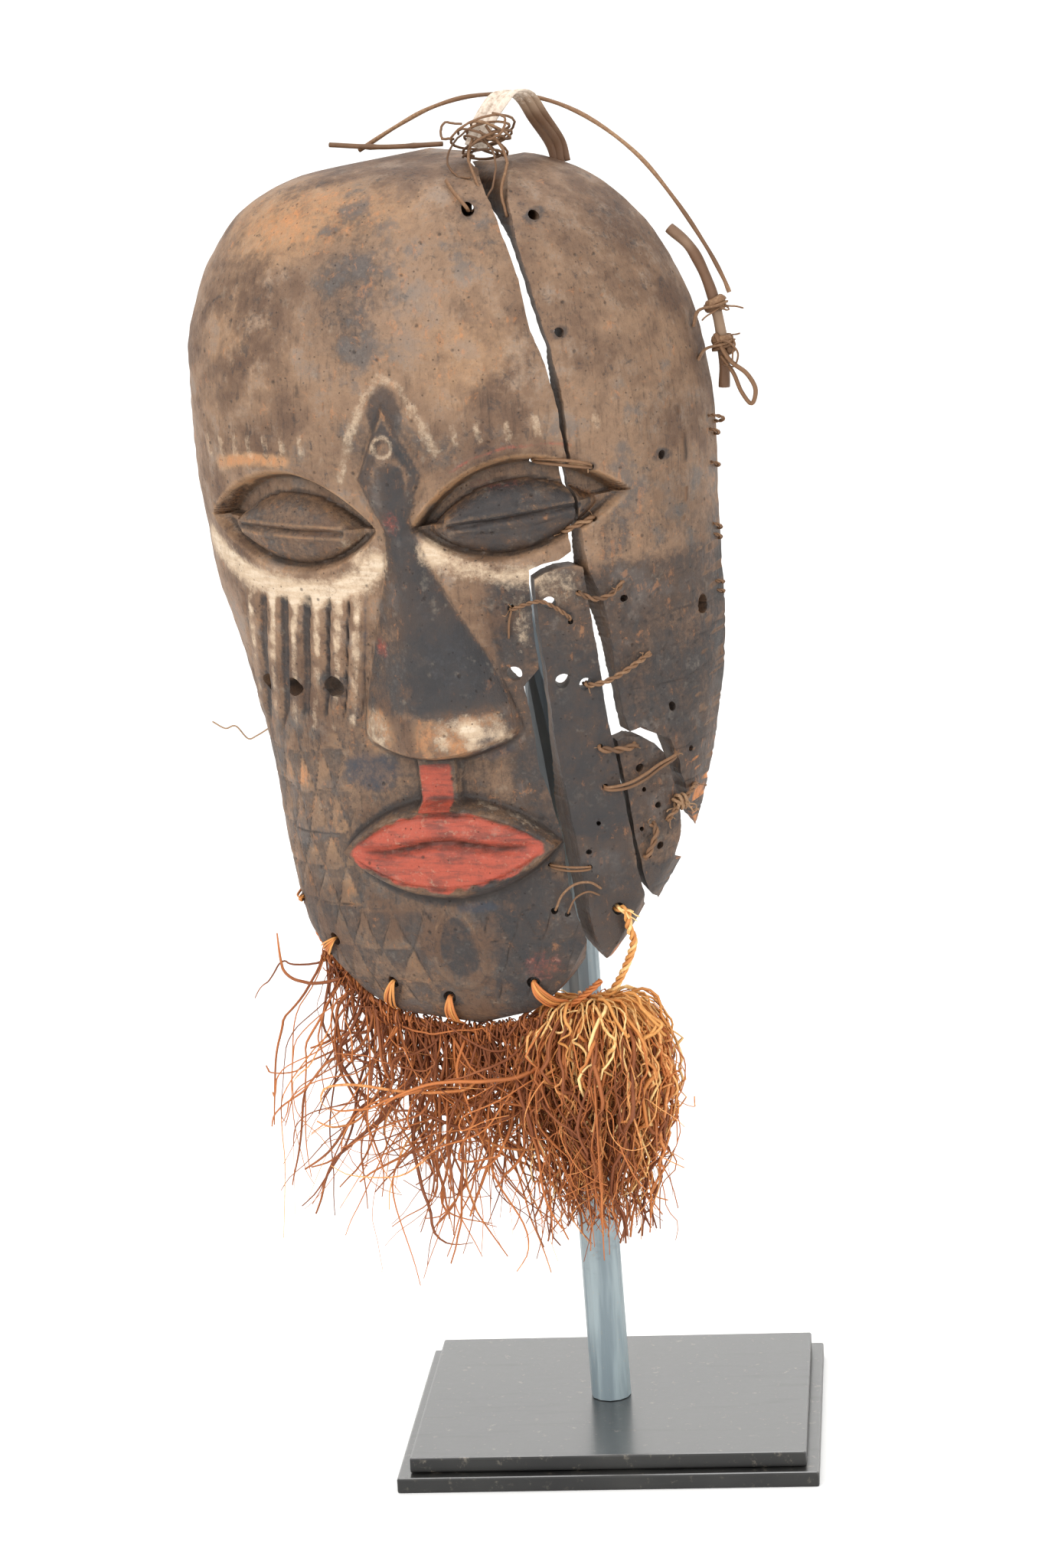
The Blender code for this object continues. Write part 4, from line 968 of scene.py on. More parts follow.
def bare_wood(x, z):
    """Where rubbing has bared orange brown wood."""
    along, axis, above, below = eye_line(x)
    inside = np.minimum(axis + above - z, z - axis + below)
    upper = smooth(1.0 - np.abs(inside - 0.5) / 2.2) * (z > axis) * ((along > -0.02) & (along < 1.03)) * 0.6
    lower = smooth(1.0 - np.abs(inside + 0.3) / 1.5) * (z <= axis) * ((along > 0) & (along < 1)) * 0.42
    wall = smooth(inside / 1.0) * smooth((6.0 - inside) / 3.0) * (z > axis)
    wall = wall * smooth((along - 0.05) / 0.1) * 0.75
    slit = smooth(1.0 - np.abs(np.abs(z - axis + 1.5) - 2.2) / 1.6)
    slit = slit * ((along > 0.18) & (along < 0.82)) * np.where(x < 0, 0.75, 0.40)
    brow = near_line(x, z, [(-74, 36.5), (-62, 38.5), (-52, 38.5), (-42, 37.0)], 2.6, 2.4)
    forehead = spot(x, z, (-58.0, 84.0), (28.0, 34.0), 0.9) * 0.40
    forehead = forehead + spot(x, z, (34.0, 70.0), (20.0, 22.0), 0.9) * 0.50
    forehead = forehead + spot(x, z, (-25.0, 124.0), (40.0, 13.0), 0.8) * 0.75
    forehead = forehead + spot(x, z, (76.0, 66.0), (9.0, 30.0), 0.8) * 0.2
    tip = spot(x, z, (-17.0, -66.0), (10.0, 11.0), 0.5) * 0.95
    tip = tip + spot(x, z, (20.0, -67.0), (21.0, 12.0), 0.5)
    ring = smooth(1.0 - np.abs(drop_shape(x, z) - 1.0) / 0.25) * 0.45
    _, pale = lattice_lines(girth(x, z) + 3.0, z + 180.0, 14.0, 15.0)
    triangles = pale * jaw_field(x, z) * 0.36 * (1.0 + wander(x, z, 63, 24.0)) * smooth((20.0 - x) / 24.0)
    jaw_tip = spot(x, z, (57.0, -160.0), (6.0, 10.0), 0.6) * 0.6
    jaw_tip = jaw_tip + spot(x, z, (83.0, -131.0), (5.0, 5.0), 0.5) * 0.6
    fresh = near_line(x, z, [(73, -75), (77, -74), (84, -82), (86, -95), (85.5, -112), (83, -124)],
                      1.6, 1.2) * 0.8
    parts = [upper, lower, wall, slit, brow, forehead, tip, ring, triangles, jaw_tip, fresh]
    return np.clip(np.maximum.reduce(parts), 0.0, 1.0)


def cut_away(x, z):
    """Crust flaked off here and there."""
    high = spot(x, z, (-86.0, 112.0), (5.0, 8.0), 0.5) * 0.5
    return high + spot(x, z, (-62.0, 128.0), (9.0, 5.0), 0.5) * 0.4


def unevenness(x, z, reach):
    """How far a place lies below the carving round it, in millimetres; less than 0 on a ridge."""
    around = carving(x + reach, z) + carving(x - reach, z) + carving(x, z + reach) + carving(x, z - reach)
    return around / 4.0 - carving(x, z)


def paint_board(data):
    """Works out for each point whether it is outside, and what it carries."""
    points = points_of(data) / UNIT
    x, y, z = points.T
    base = np.clip(x, -half_width(np.full(len(x), -1.0), z), half_width(np.full(len(x), 1.0), z))
    for _ in range(3):
        nx, ny = outward(base, z)
        base = x - nx * carving(base, z)
    nx, ny = outward(base, z)
    height = carving(base, z)
    away = np.abs(y - (skin_y(base, z) + ny * height))
    level = np.abs(x - (base + nx * height))
    outside = smooth((1.4 - np.minimum(away, np.hypot(away, level))) / 0.8)
    width = np.maximum(half_width(x, z) - WALL, 1.0)
    lower = MIDDLE + (z - MIDDLE) / SHRINK
    within = np.clip(np.abs(x) / np.maximum(half_width(x, lower) - WALL, 1.0), 0.0, 1.0)
    round_share = (1.0 - within ** ROUND) ** (1.0 / ROUND)
    inner_y = station(lower, 4) - np.maximum(station(lower, 3) - WALL, 2.0) * round_share
    inner = smooth((1.6 - np.abs(y - inner_y)) / 0.8) * (np.abs(x) < width + 2.0)
    give(data, "outside", outside)
    give(data, "inner", inner * (1.0 - outside))
    give(data, "red", red_paint(base, z) * outside)
    give(data, "white", white_clay(base, z) * outside)
    give(data, "blue", blue_paint(base, z) * outside)
    give(data, "dark", dark_patina(base, z) * outside)
    give(data, "bare", bare_wood(base, z) * outside)
    give(data, "flaked", cut_away(base, z) * outside)
    near, far = unevenness(base, z, 1.3), unevenness(base, z, 4.0)
    lines, _ = lattice_lines(girth(base, z), z + 84.0, 15.0, 13.0)
    scratch = smooth(1.0 - lines / 0.9) * right_field(base, z) * (0.75 + 0.4 * wander(base, z, 55, 26.0))
    lines, _ = lattice_lines(girth(base, z) + 3.0, z + 180.0, 14.0, 15.0)
    worn = 0.55 + 0.45 * wander(base, z, 54, 26.0)
    scratch = scratch + smooth(1.0 - lines / 0.8) * jaw_field(base, z) * worn
    deep = smooth(near / 0.5) * 0.55 + smooth(far / 1.8) * 0.5
    give(data, "groove", (deep + np.clip(scratch, 0.0, 1.0) * 0.8) * outside)
    worn = 1.0 - 0.9 * smooth((mouth_inside(base, z) + 6.0) / 3.0)
    worn = worn * (1.0 - 0.7 * spot(base, z, (8.0, -30.0), (26.0, 36.0), 0.3))
    give(data, "ridge", (smooth(-near / 0.45) * 0.50 + smooth(-far / 1.6) * 0.30) * worn * outside)
    fresh = near_line(base, z, [(73, -75), (79, -74), (85, -82), (87, -95), (86, -112), (83, -126)],
                      5.0, 2.0)
    fresh = np.maximum(fresh, spot(base, z, (57.0, -161.0), (6.0, 5.0), 0.4))
    give(data, "fresh", np.maximum(fresh * (1.0 - outside), fresh * outside * 0.35))
    _, pale = lattice_lines(girth(base, z) + 3.0, z + 180.0, 14.0, 15.0)
    give(data, "hatch", (1.0 - pale) * jaw_field(base, z) * outside)


# Finishes
class Value:
    """A number that varies over a surface; sums with it add Math nodes."""

    def __init__(self, finish, socket):
        self.finish = finish
        self.socket = socket

    def __add__(self, other):
        return self.finish.math("ADD", self, other)

    def __radd__(self, other):
        return self.finish.math("ADD", other, self)

    def __sub__(self, other):
        return self.finish.math("SUBTRACT", self, other)

    def __rsub__(self, other):
        return self.finish.math("SUBTRACT", other, self)

    def __mul__(self, other):
        return self.finish.math("MULTIPLY", self, other)

    def __rmul__(self, other):
        return self.finish.math("MULTIPLY", other, self)


class Finish:
    """One procedural material."""

    def __init__(self, name):
        self.material = bpy.data.materials.new(name)
        self.material.use_nodes = True
        self.tree = self.material.node_tree
        self.tree.nodes.clear()
        self.shader = self.tree.nodes.new("ShaderNodeBsdfPrincipled")
        output = self.tree.nodes.new("ShaderNodeOutputMaterial")
        self.tree.links.new(self.shader.outputs[0], output.inputs[0])
        self.place = self.node("ShaderNodeTexCoord", output="Object")

    def feed(self, socket, value):
        if isinstance(value, Value):
            self.tree.links.new(value.socket, socket)
        elif hasattr(value, "__len__") and len(value) == 3 and socket.type == "RGBA":
            socket.default_value = (*value, 1.0)
        else:
            socket.default_value = value

    def node(self, kind, settings=None, inputs=None, output=0):
        made = self.tree.nodes.new(kind)
        for key, value in (settings or {}).items():
            setattr(made, key, value)
        for key, value in (inputs or {}).items():
            self.feed(made.inputs[key], value)
        return Value(self, made.outputs[output])

    def math(self, operation, *values, clamp=False):
        return self.node("ShaderNodeMath", {"operation": operation, "use_clamp": clamp},
                         dict(enumerate(values)))

    def held(self, value):
        return self.math("ADD", value, 0.0, clamp=True)

    def mix(self, share, one, two):
        return self.node("ShaderNodeMix", {"data_type": "RGBA", "clamp_factor": True},
                         {0: share, 6: one, 7: two}, output=2)

    def stretched(self, scale, turn=(0.0, 0.0, 0.0)):
        return self.node("ShaderNodeMapping", None,
                         {"Vector": self.place, "Scale": scale, "Rotation": turn})

    def noise(self, scale, detail=3.0, rough=0.55, place=None, twist=0.0):
        return self.node("ShaderNodeTexNoise", None,
                         {"Vector": place or self.place, "Scale": scale, "Detail": detail,
                                                     "Roughness": rough, "Distortion": twist})

    def grains(self, scale):
        return self.node("ShaderNodeTexVoronoi", {"feature": "F1"}, {"Vector": self.place, "Scale": scale},
                         output="Distance")

    def step(self, value, low, high):
        """0 below low, 1 above high, smooth between."""
        return self.node("ShaderNodeMapRange", {"interpolation_type": "SMOOTHSTEP"},
                         {"Value": value, "From Min": low, "From Max": high})

    def carried(self, name):
        return self.node("ShaderNodeAttribute", {"attribute_name": name}, output="Fac")

    def bump(self, height, strength, distance):
        return self.node("ShaderNodeBump", None,
                         {"Height": height, "Strength": strength, "Distance": distance})

    def close(self, color, roughness, normal=None, **fixed):
        self.feed(self.shader.inputs["Base Color"], color)
        self.feed(self.shader.inputs["Roughness"], roughness)
        if normal is not None:
            self.feed(self.shader.inputs["Normal"], normal)
        for key, value in fixed.items():
            self.shader.inputs[key.replace("_", " ")].default_value = value
        return self.material


def paint(red, green, blue):
    """Colour as seen on a screen, as the shader wants it."""
    channels = []
    for value in (red / 255.0, green / 255.0, blue / 255.0):
        channels.append(value / 12.92 if value <= 0.04045 else ((value + 0.055) / 1.055) ** 2.4)
    return tuple(channels)


def wood_finish(colors):
    """Old carved wood: dark patina, bared wood, clay, red and blue paint, dirt and dust."""
    f = Finish("old_carved_wood")
    wide = f.noise(20.0, 5.0, 0.62, twist=0.4)
    middle = f.noise(75.0, 5.0, 0.66)
    fine = f.noise(430.0, 4.0, 0.7)
    crumbs = f.noise(1300.0, 3.0, 0.7)
    grain = f.noise(110.0, 5.0, 0.65, place=f.stretched((6.0, 6.0, 0.6)))
    level = f.noise(120.0, 4.0, 0.6, place=f.stretched((0.7, 1.0, 5.0)))
    specks = f.grains(300.0)
    pits = f.grains(120.0)
    flecks = f.noise(210.0, 4.0, 0.75, twist=0.6)
    outside = f.carried("outside")
    color = f.mix(f.step(wide + (middle - 0.5) * 0.5, 0.32, 0.66), colors.wood_dark, colors.wood_mid)
    color = f.mix(f.step(middle + (crumbs - 0.5) * 0.4, 0.50, 0.74) * 0.55, color, colors.wood_grey)
    color = f.mix(f.step(grain + (fine - 0.5) * 0.4, 0.50, 0.74) * 0.55, color, colors.wood_deep)
    bare = f.carried("bare") + (middle - 0.5) * 1.2 + (fine - 0.5) * 1.0 + (wide - 0.5) * 0.9
    color = f.mix(f.step(bare, 0.22, 0.90) * 0.80, color, colors.wood_bare)
    glow = f.carried("bare") + (grain - 0.5) * 1.4 + (flecks - 0.5) * 1.4 + (wide - 0.5) * 0.8
    color = f.mix(f.step(glow, 0.55, 1.25) * 0.6, color, colors.wood_orange)
    hatch = f.carried("hatch") + (fine - 0.5) * 0.8 + (middle - 0.5) * 0.8
    color = f.mix(f.step(hatch, 0.45, 1.1) * 0.50, color, colors.patina)
    dark = f.carried("dark") + (wide - 0.5) * 1.0 + (middle - 0.5) * 1.5 + (fine - 0.5) * 0.7
    black = f.mix(f.step(wide + (flecks - 0.5) * 0.5, 0.42, 0.6), colors.patina, colors.patina_brown)
    color = f.mix(f.step(dark, 0.32, 0.90) * 0.90, color, black)
    soot_deep = f.step(f.carried("dark") + (middle - 0.5) * 0.8, 1.0, 1.5)
    patch = f.step(wide + (middle - 0.5) * 0.8, 0.57, 0.70) * outside
    color = f.mix(patch * 0.32, color, colors.wood_blue_grey)
    bloom = f.step(middle * 0.5 + fine * 0.5, 0.53, 0.68) * outside
    color = f.mix(bloom * 0.13, color, colors.bloom)
    worn = f.step(flecks + (grain - 0.5) * 0.5 + (wide - 0.5) * 0.4, 0.60, 0.74) * outside
    color = f.mix(worn * 0.30, color, colors.wood_orange)
    soot = f.step(flecks + (wide - 0.5) * 0.4, 0.42, 0.30) * outside
    color = f.mix(soot * 0.50, color, colors.patina)
    color = f.mix(soot_deep * 0.60, color, colors.patina)
    ridge = f.carried("ridge") + (middle - 0.5) * 1.1 + (flecks - 0.5) * 1.4
    color = f.mix(f.step(ridge, 0.35, 1.2) * 0.42, color, colors.wood_bare)
    blue = f.carried("blue") + (middle - 0.5) * 0.8 + (fine - 0.5) * 0.5
    color = f.mix(f.step(blue, 0.30, 0.85) * 0.75, color, colors.blue_paint)
    white = f.carried("white") + (fine - 0.5) * 1.2 + (middle - 0.5) * 0.9 + (crumbs - 0.5) * 0.4
    color = f.mix(f.step(white, 0.30, 1.05) * 0.85, color, colors.clay)
    white_high = f.carried("white") + (level - 0.5) * 1.3 + (fine - 0.5) * 0.6
    color = f.mix(f.step(white_high, 0.80, 1.25) * 0.45, color, colors.clay_bright)
    red = f.carried("red") + (fine - 0.5) * 0.8 + (middle - 0.5) * 0.8 + (crumbs - 0.5) * 0.3
    red_share = f.step(red, 0.28, 0.85)
    red_tone = f.mix(f.step(level * 0.5 + middle * 0.5, 0.44, 0.62), colors.red_paint, colors.red_dark)
    color = f.mix(red_share * 0.90, color, f.mix(f.step(fine, 0.55, 0.75) * 0.35, red_tone, colors.clay))
    flaked = f.step(f.carried("flaked") + (middle - 0.5), 0.35, 0.6)
    color = f.mix(flaked * 0.5, color, colors.wood_bare)
    groove = f.carried("groove") + (fine - 0.5) * 0.5 + (middle - 0.5) * 0.4
    color = f.mix(f.step(groove, 0.15, 1.0) * 0.72, color, colors.wood_deep)
    dust = f.step(f.noise(160.0, 3.0, 0.7), 0.60, 0.78)
    color = f.mix(dust * 0.18, color, colors.dust)
    color = f.mix(f.step(crumbs, 0.56, 0.70) * 0.35, color, colors.wood_deep)
    color = f.mix(f.step(specks, 0.14, 0.04) * 0.6, color, colors.wood_deep)
    color = f.mix(f.step(pits, 0.10, 0.04) * 0.6, color, colors.wood_deep)
    wall = f.mix(f.step(grain, 0.35, 0.7), colors.break_dark, colors.break_light)
    fresh = f.step(f.carried("fresh") + (grain - 0.5) * 0.6, 0.35, 0.75)
    wall = f.mix(fresh, wall, f.mix(f.step(flecks, 0.4, 0.6), colors.wood_fresh, colors.break_light))
    color = f.mix(fresh * 0.8, color, colors.wood_fresh)
    inside = f.mix(f.step(wide + (fine - 0.5) * 0.4, 0.35, 0.65), colors.inner_dark, colors.inner_light)
    behind = f.mix(f.carried("inner"), wall, inside)
    color = f.mix(outside, behind, color)
    height = fine * 0.40 + grain * 0.5 + middle * 0.7 + crumbs * 0.12 - f.step(specks, 0.14, 0.03) * 0.5
    height = height - f.step(pits, 0.12, 0.02) * 0.8 + red_share * 0.12
    rough = f.held(0.62 - f.step(wide, 0.4, 0.7) * 0.14 * outside + (fine - 0.5) * 0.3)
    return f.close(color, rough, f.bump(height, 0.62, 0.0011), Specular_IOR_Level=0.42)


def cane_finish(name, one, two, three, scale=1.0, rough=0.62):
    """Split cane and fibre: long streaks and scuffs."""
    f = Finish(name)
    wide = f.noise(60.0 * scale, 3.0, 0.6)
    streaks = f.noise(900.0 * scale, 3.0, 0.6)
    shade = f.carried("shade")
    color = f.mix(f.step(shade + (wide - 0.5) * 0.7, 0.05, 0.55), one, two)
    color = f.mix(f.step(shade + (streaks - 0.5) * 0.9, 0.50, 1.0) * 0.8, color, three)
    return f.close(color, f.held(rough + (streaks - 0.5) * 0.3), f.bump(streaks + wide * 0.5, 0.5, 0.0004),
                   Specular_IOR_Level=0.35)


def board_finish(colors):
    """Satin black paint with greyed patches, dust and faint scuffs."""
    f = Finish("satin_black_board")
    wide = f.noise(14.0, 3.0, 0.6)
    dust = f.noise(240.0, 4.0, 0.7)
    scuffs = f.noise(45.0, 4.0, 0.6, place=f.stretched((0.4, 3.0, 3.0), (0.0, 0.0, 0.5)))
    color = f.mix(f.step(wide, 0.35, 0.7), colors.board, colors.board_light)
    color = f.mix(f.step(dust, 0.58, 0.78) * 0.35, color, colors.dust)
    color = f.mix(f.step(scuffs, 0.60, 0.78) * 0.30, color, colors.board_scuff)
    rough = f.held(0.30 + wide * 0.12 + f.step(scuffs, 0.55, 0.8) * 0.12 + (dust - 0.5) * 0.1)
    facing = f.node("ShaderNodeTexCoord", output="Normal")
    level = f.node("ShaderNodeSeparateXYZ", None, {"Vector": facing}, output="Z")
    f.feed(f.shader.inputs["Coat Weight"], f.step(level, 0.2, 0.9))
    return f.close(color, rough, f.bump(dust * 0.4 + scuffs * 0.3, 0.18, 0.0003), Specular_IOR_Level=0.45,
                   Coat_Roughness=0.22, Coat_IOR=2.0)


def tube_finish(colors):
    """Pale blue-grey plastic pipe, darkened where the heat bent it, with painted shade where it runs up
    inside the mask.
    """
    f = Finish("grey_plastic_tube")
    wide = f.noise(30.0, 3.0, 0.6)
    streaks = f.noise(60.0, 3.0, 0.6, place=f.stretched((3.0, 3.0, 0.25)))
    fine = f.noise(500.0, 3.0, 0.6)
    color = f.mix(f.step(streaks, 0.40, 0.68), colors.tube, colors.tube_light)
    color = f.mix(f.step(wide + (fine - 0.5) * 0.3, 0.55, 0.75) * 0.5, color, colors.tube_dark)
    color = f.mix(f.step(fine, 0.62, 0.74) * 0.35, color, colors.dust)
    # Painted shade: the tube is darker above 0.245 m, where it runs up inside the mask, together with
    # heat-darkened plastic where it was bent.
    height = f.node("ShaderNodeSeparateXYZ", None, {"Vector": f.place}, output="Z")
    color = f.mix(f.step(height, 0.245, 0.275) * 0.88, color, colors.tube_heated_and_shaded)
    rough = f.held(0.42 + (fine - 0.5) * 0.3 + f.step(wide, 0.5, 0.8) * 0.15)
    return f.close(color, rough, f.bump(streaks * 0.5 + fine * 0.3, 0.25, 0.0004), Specular_IOR_Level=0.5)


def raffia_finish(name, one, two, three):
    """Dyed raffia strands, each of its own shade."""
    f = Finish(name)
    shade = f.carried("shade")
    fine = f.noise(700.0, 3.0, 0.6)
    wide = f.noise(35.0, 3.0, 0.6)
    color = f.mix(f.step(shade + (wide - 0.5) * 0.6, 0.2, 0.7), one, two)
    color = f.mix(f.step(shade + (fine - 0.5) * 0.5, 0.70, 0.98), color, three)
    return f.close(color, f.held(0.62 + (fine - 0.5) * 0.3), f.bump(fine, 0.3, 0.0002),
                   Specular_IOR_Level=0.3)


def floor_finish(colors):
    f = Finish("pale_floor")
    color = f.mix(f.noise(3.0, 2.0), colors.floor, colors.floor_low)
    return f.close(color, 0.55, None, Specular_IOR_Level=0.2)


# Settings
def size_setting(name, about, default):
    return FloatProperty(name=name, description=about, default=default, unit="LENGTH", precision=5)


def color_setting(name, about, default):
    return FloatVectorProperty(name=name, description=about, default=paint(*default), size=3,
                               subtype="COLOR", min=0.0, max=1.0)


class MaskColors(bpy.types.PropertyGroup):
    wood_dark: color_setting("Dark wood", "Darker shade of the forehead", (88, 64, 47))
    wood_mid: color_setting("Middle wood", "Main shade of the forehead", (136, 107, 82))
    wood_grey: color_setting("Greyed wood", "Weathered patches", (138, 122, 108))
    wood_deep: color_setting("Deep wood", "Pores and grain", (36, 27, 22))
    wood_bare: color_setting("Bared wood", "Rubbed wood", (158, 122, 88))
    wood_orange: color_setting("Orange wood", "Most worn wood", (184, 122, 74))
    patina_brown: color_setting("Brown patina", "Brown shade of the patina", (58, 44, 36))
    wood_fresh: color_setting("Fresh wood", "Wood bared by the newest break", (190, 118, 62))
    bloom: color_setting("Bloom", "Pale grey bloom on the patina", (176, 162, 148))
    wood_blue_grey: color_setting("Grey bloom", "Blue-grey patches", (92, 88, 86))
    patina: color_setting("Patina", "Black-brown patina", (38, 38, 40))
    blue_paint: color_setting("Blue paint", "Worn blue-grey paint", (44, 51, 62))
    clay: color_setting("Clay", "White clay", (196, 172, 144))
    clay_bright: color_setting("Bright clay", "Thickest white clay", (224, 208, 186))
    red_paint: color_setting("Red", "Red earth paint", (168, 72, 52))
    red_dark: color_setting("Dark red", "Worn red earth paint", (120, 56, 44))
    dust: color_setting("Dust", "Dust", (172, 160, 142))
    break_dark: color_setting("Old break", "Darkened broken wood", (44, 32, 24))
    break_light: color_setting("Fresh break", "Paler broken wood", (112, 76, 46))
    inner_dark: color_setting("Dark inside", "Smoked wood inside", (58, 44, 33))
    inner_light: color_setting("Pale inside", "Handled wood inside", (116, 88, 60))
    board: color_setting("Board", "Black paint", (24, 24, 24))
    board_light: color_setting("Board, worn", "Greyed black paint", (40, 40, 38))
    board_scuff: color_setting("Board, scuffed", "Scuffs in the paint", (66, 65, 60))
    tube: color_setting("Tube", "Blue-grey plastic", (120, 134, 140))
    tube_light: color_setting("Tube, pale", "Pale blue-grey plastic", (152, 166, 170))
    tube_dark: color_setting("Tube, dirty", "Dirt on the tube", (92, 102, 106))
    # Colour of the tube's top inside the mask: painted shade, together with heat darkening.
    tube_heated_and_shaded: color_setting("Tube, heated and shaded", "Plastic darkened by the heat, and painted shade inside the mask", (84, 98, 108))
    cane_dark: color_setting("Dark cane", "Shaded cane", (62, 44, 32))
    cane_mid: color_setting("Cane", "Old cane", (118, 86, 60))
    cane_light: color_setting("Pale cane", "Worn cane", (164, 132, 100))
    strap_dark: color_setting("Strap, shaded", "Shaded split cane", (104, 76, 56))
    strap_mid: color_setting("Strap", "Split cane", (150, 126, 104))
    strap_light: color_setting("Strap, pale", "Palest split cane", (228, 214, 198))
    rust_dark: color_setting("Dark raffia", "Shaded raffia", (124, 70, 42))
    rust_mid: color_setting("Raffia", "Rust brown raffia", (190, 114, 62))
    rust_light: color_setting("Pale raffia", "Sunlit raffia", (240, 180, 114))
    gold_mid: color_setting("Gold raffia", "Golden raffia", (210, 148, 82))
    gold_light: color_setting("Pale gold raffia", "Palest golden raffia", (246, 210, 146))
    floor: color_setting("Floor", "Pale floor", (250, 250, 249))
    floor_low: color_setting("Floor, low", "Slightly deeper floor", (246, 246, 245))


class MaskSizes(bpy.types.PropertyGroup):
    skin_gap: FloatProperty(name="Skin detail",
                            description="Spacing of the carved skin's points, in millimetres", default=1.0)
    strand_width: size_setting("Strand", "Width of a raffia strand", 0.00105)
    fringe_strands: IntProperty(name="Fringe strands", description="Strands in the fringe", default=390)
    tuft_strands: IntProperty(name="Tuft strands", description="Strands in the tuft", default=430)
    seed: IntProperty(name="Seed", description="Start of every random draw", default=5)


def settle(made, look, replaced=(), angle=None):
    """Gives a piece its finish and has it ride on the stand."""
    made.data.materials.clear()
    made.data.materials.append(look)
    if angle is not None:
        made.data.shade_smooth()
        made.data.set_sharp_from_angle(angle=math.radians(angle))
    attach(made, BODY)
    if replaced:
        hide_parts(*replaced)
    return made


BOARDS = {
    "face": ("mask_face_board", (-1.0, 0.78, BOTTOM, TOP), FACE_EDGE, [(-130, -215), (-130, 170), (0, 170)],
             (-0.1353, 0.0738)),
    "temple": ("mask_temple_board", (0.30, 1.0, -142.0, TOP), TEMPLE_EDGE,
               [(150, -150), (150, 170), (60, 170)], (-0.1353, 0.0738)),
    "slat": ("mask_cheek_slat", (0.38, 0.95, -170.0, 2.0), SLAT_EDGE, [], (-0.1353, -0.0246)),
    "jaw": ("mask_jaw_piece", (0.60, 1.0, -158.0, -66.0), JAW_EDGE, [], (-0.1353, 0.0)),
}


class MASK_OT_boards(bpy.types.Operator):
    """Carves, breaks and paints the four boards"""

    bl_idname = "mask.boards"
    bl_label = "Carved boards"

    def execute(self, context):
        look = wood_finish(context.scene.mask_colors)
        gap = context.scene.mask_sizes.skin_gap * 1.0
        hollow = hollow_object()
        helpers = [hollow]
        for index, (label, (node, reach, edge, far, depths)) in enumerate(BOARDS.items()):
            board = skin_solid("carved_" + label + ("_board" if label in ("face", "temple") else ""),
                               *reach, gap)
            traced = jagged(edge, not far, 40 + index)
            front, back = depths[0] / UNIT, depths[1] / UNIT
            outline = edge_object(label + "_outline", traced, far, front, back)
            holes = hole_object(label + "_holes", HOLES[label])
            helpers += [outline, holes]
            cut(board, hollow)
            cut(board, outline, "INTERSECT")
            cut(board, holes)
            bake_shape(board)
            if len(board.data.polygons) < 100:
                raise RuntimeError(label + " board came out empty")
            paint_board(board.data)
            board.data.transform(MASK_POSE)
            settle(board, look, [node], angle=42)
        for helper in helpers:
            bpy.data.objects.remove(helper, do_unlink=True)
        return {"FINISHED"}


SWEEP, SWEEP_START, FLOOR_HALF = 0.9, 1.6, 5.0
CAMERA_TURN = (12.69, -3.21, -5.72)
CAMERA_PLACE = (0.124, -1.484, 0.6027)
FOCAL_PIXELS, FRAME_PIXELS, SENSOR = 5100.0, 2048.0, 36.0
LIGHTS = (
    ("key", (-1.2, -1.5, 1.4), 27.0, 1.2, (0.0, 0.0, 0.3)),
    ("fill", (1.5, -1.6, 1.0), 17.0, 1.4, (0.0, 0.0, 0.3)),
    ("top", (0.1, 0.3, 2.2), 22.0, 1.8, (0.0, 0.2, 0.0)),
)


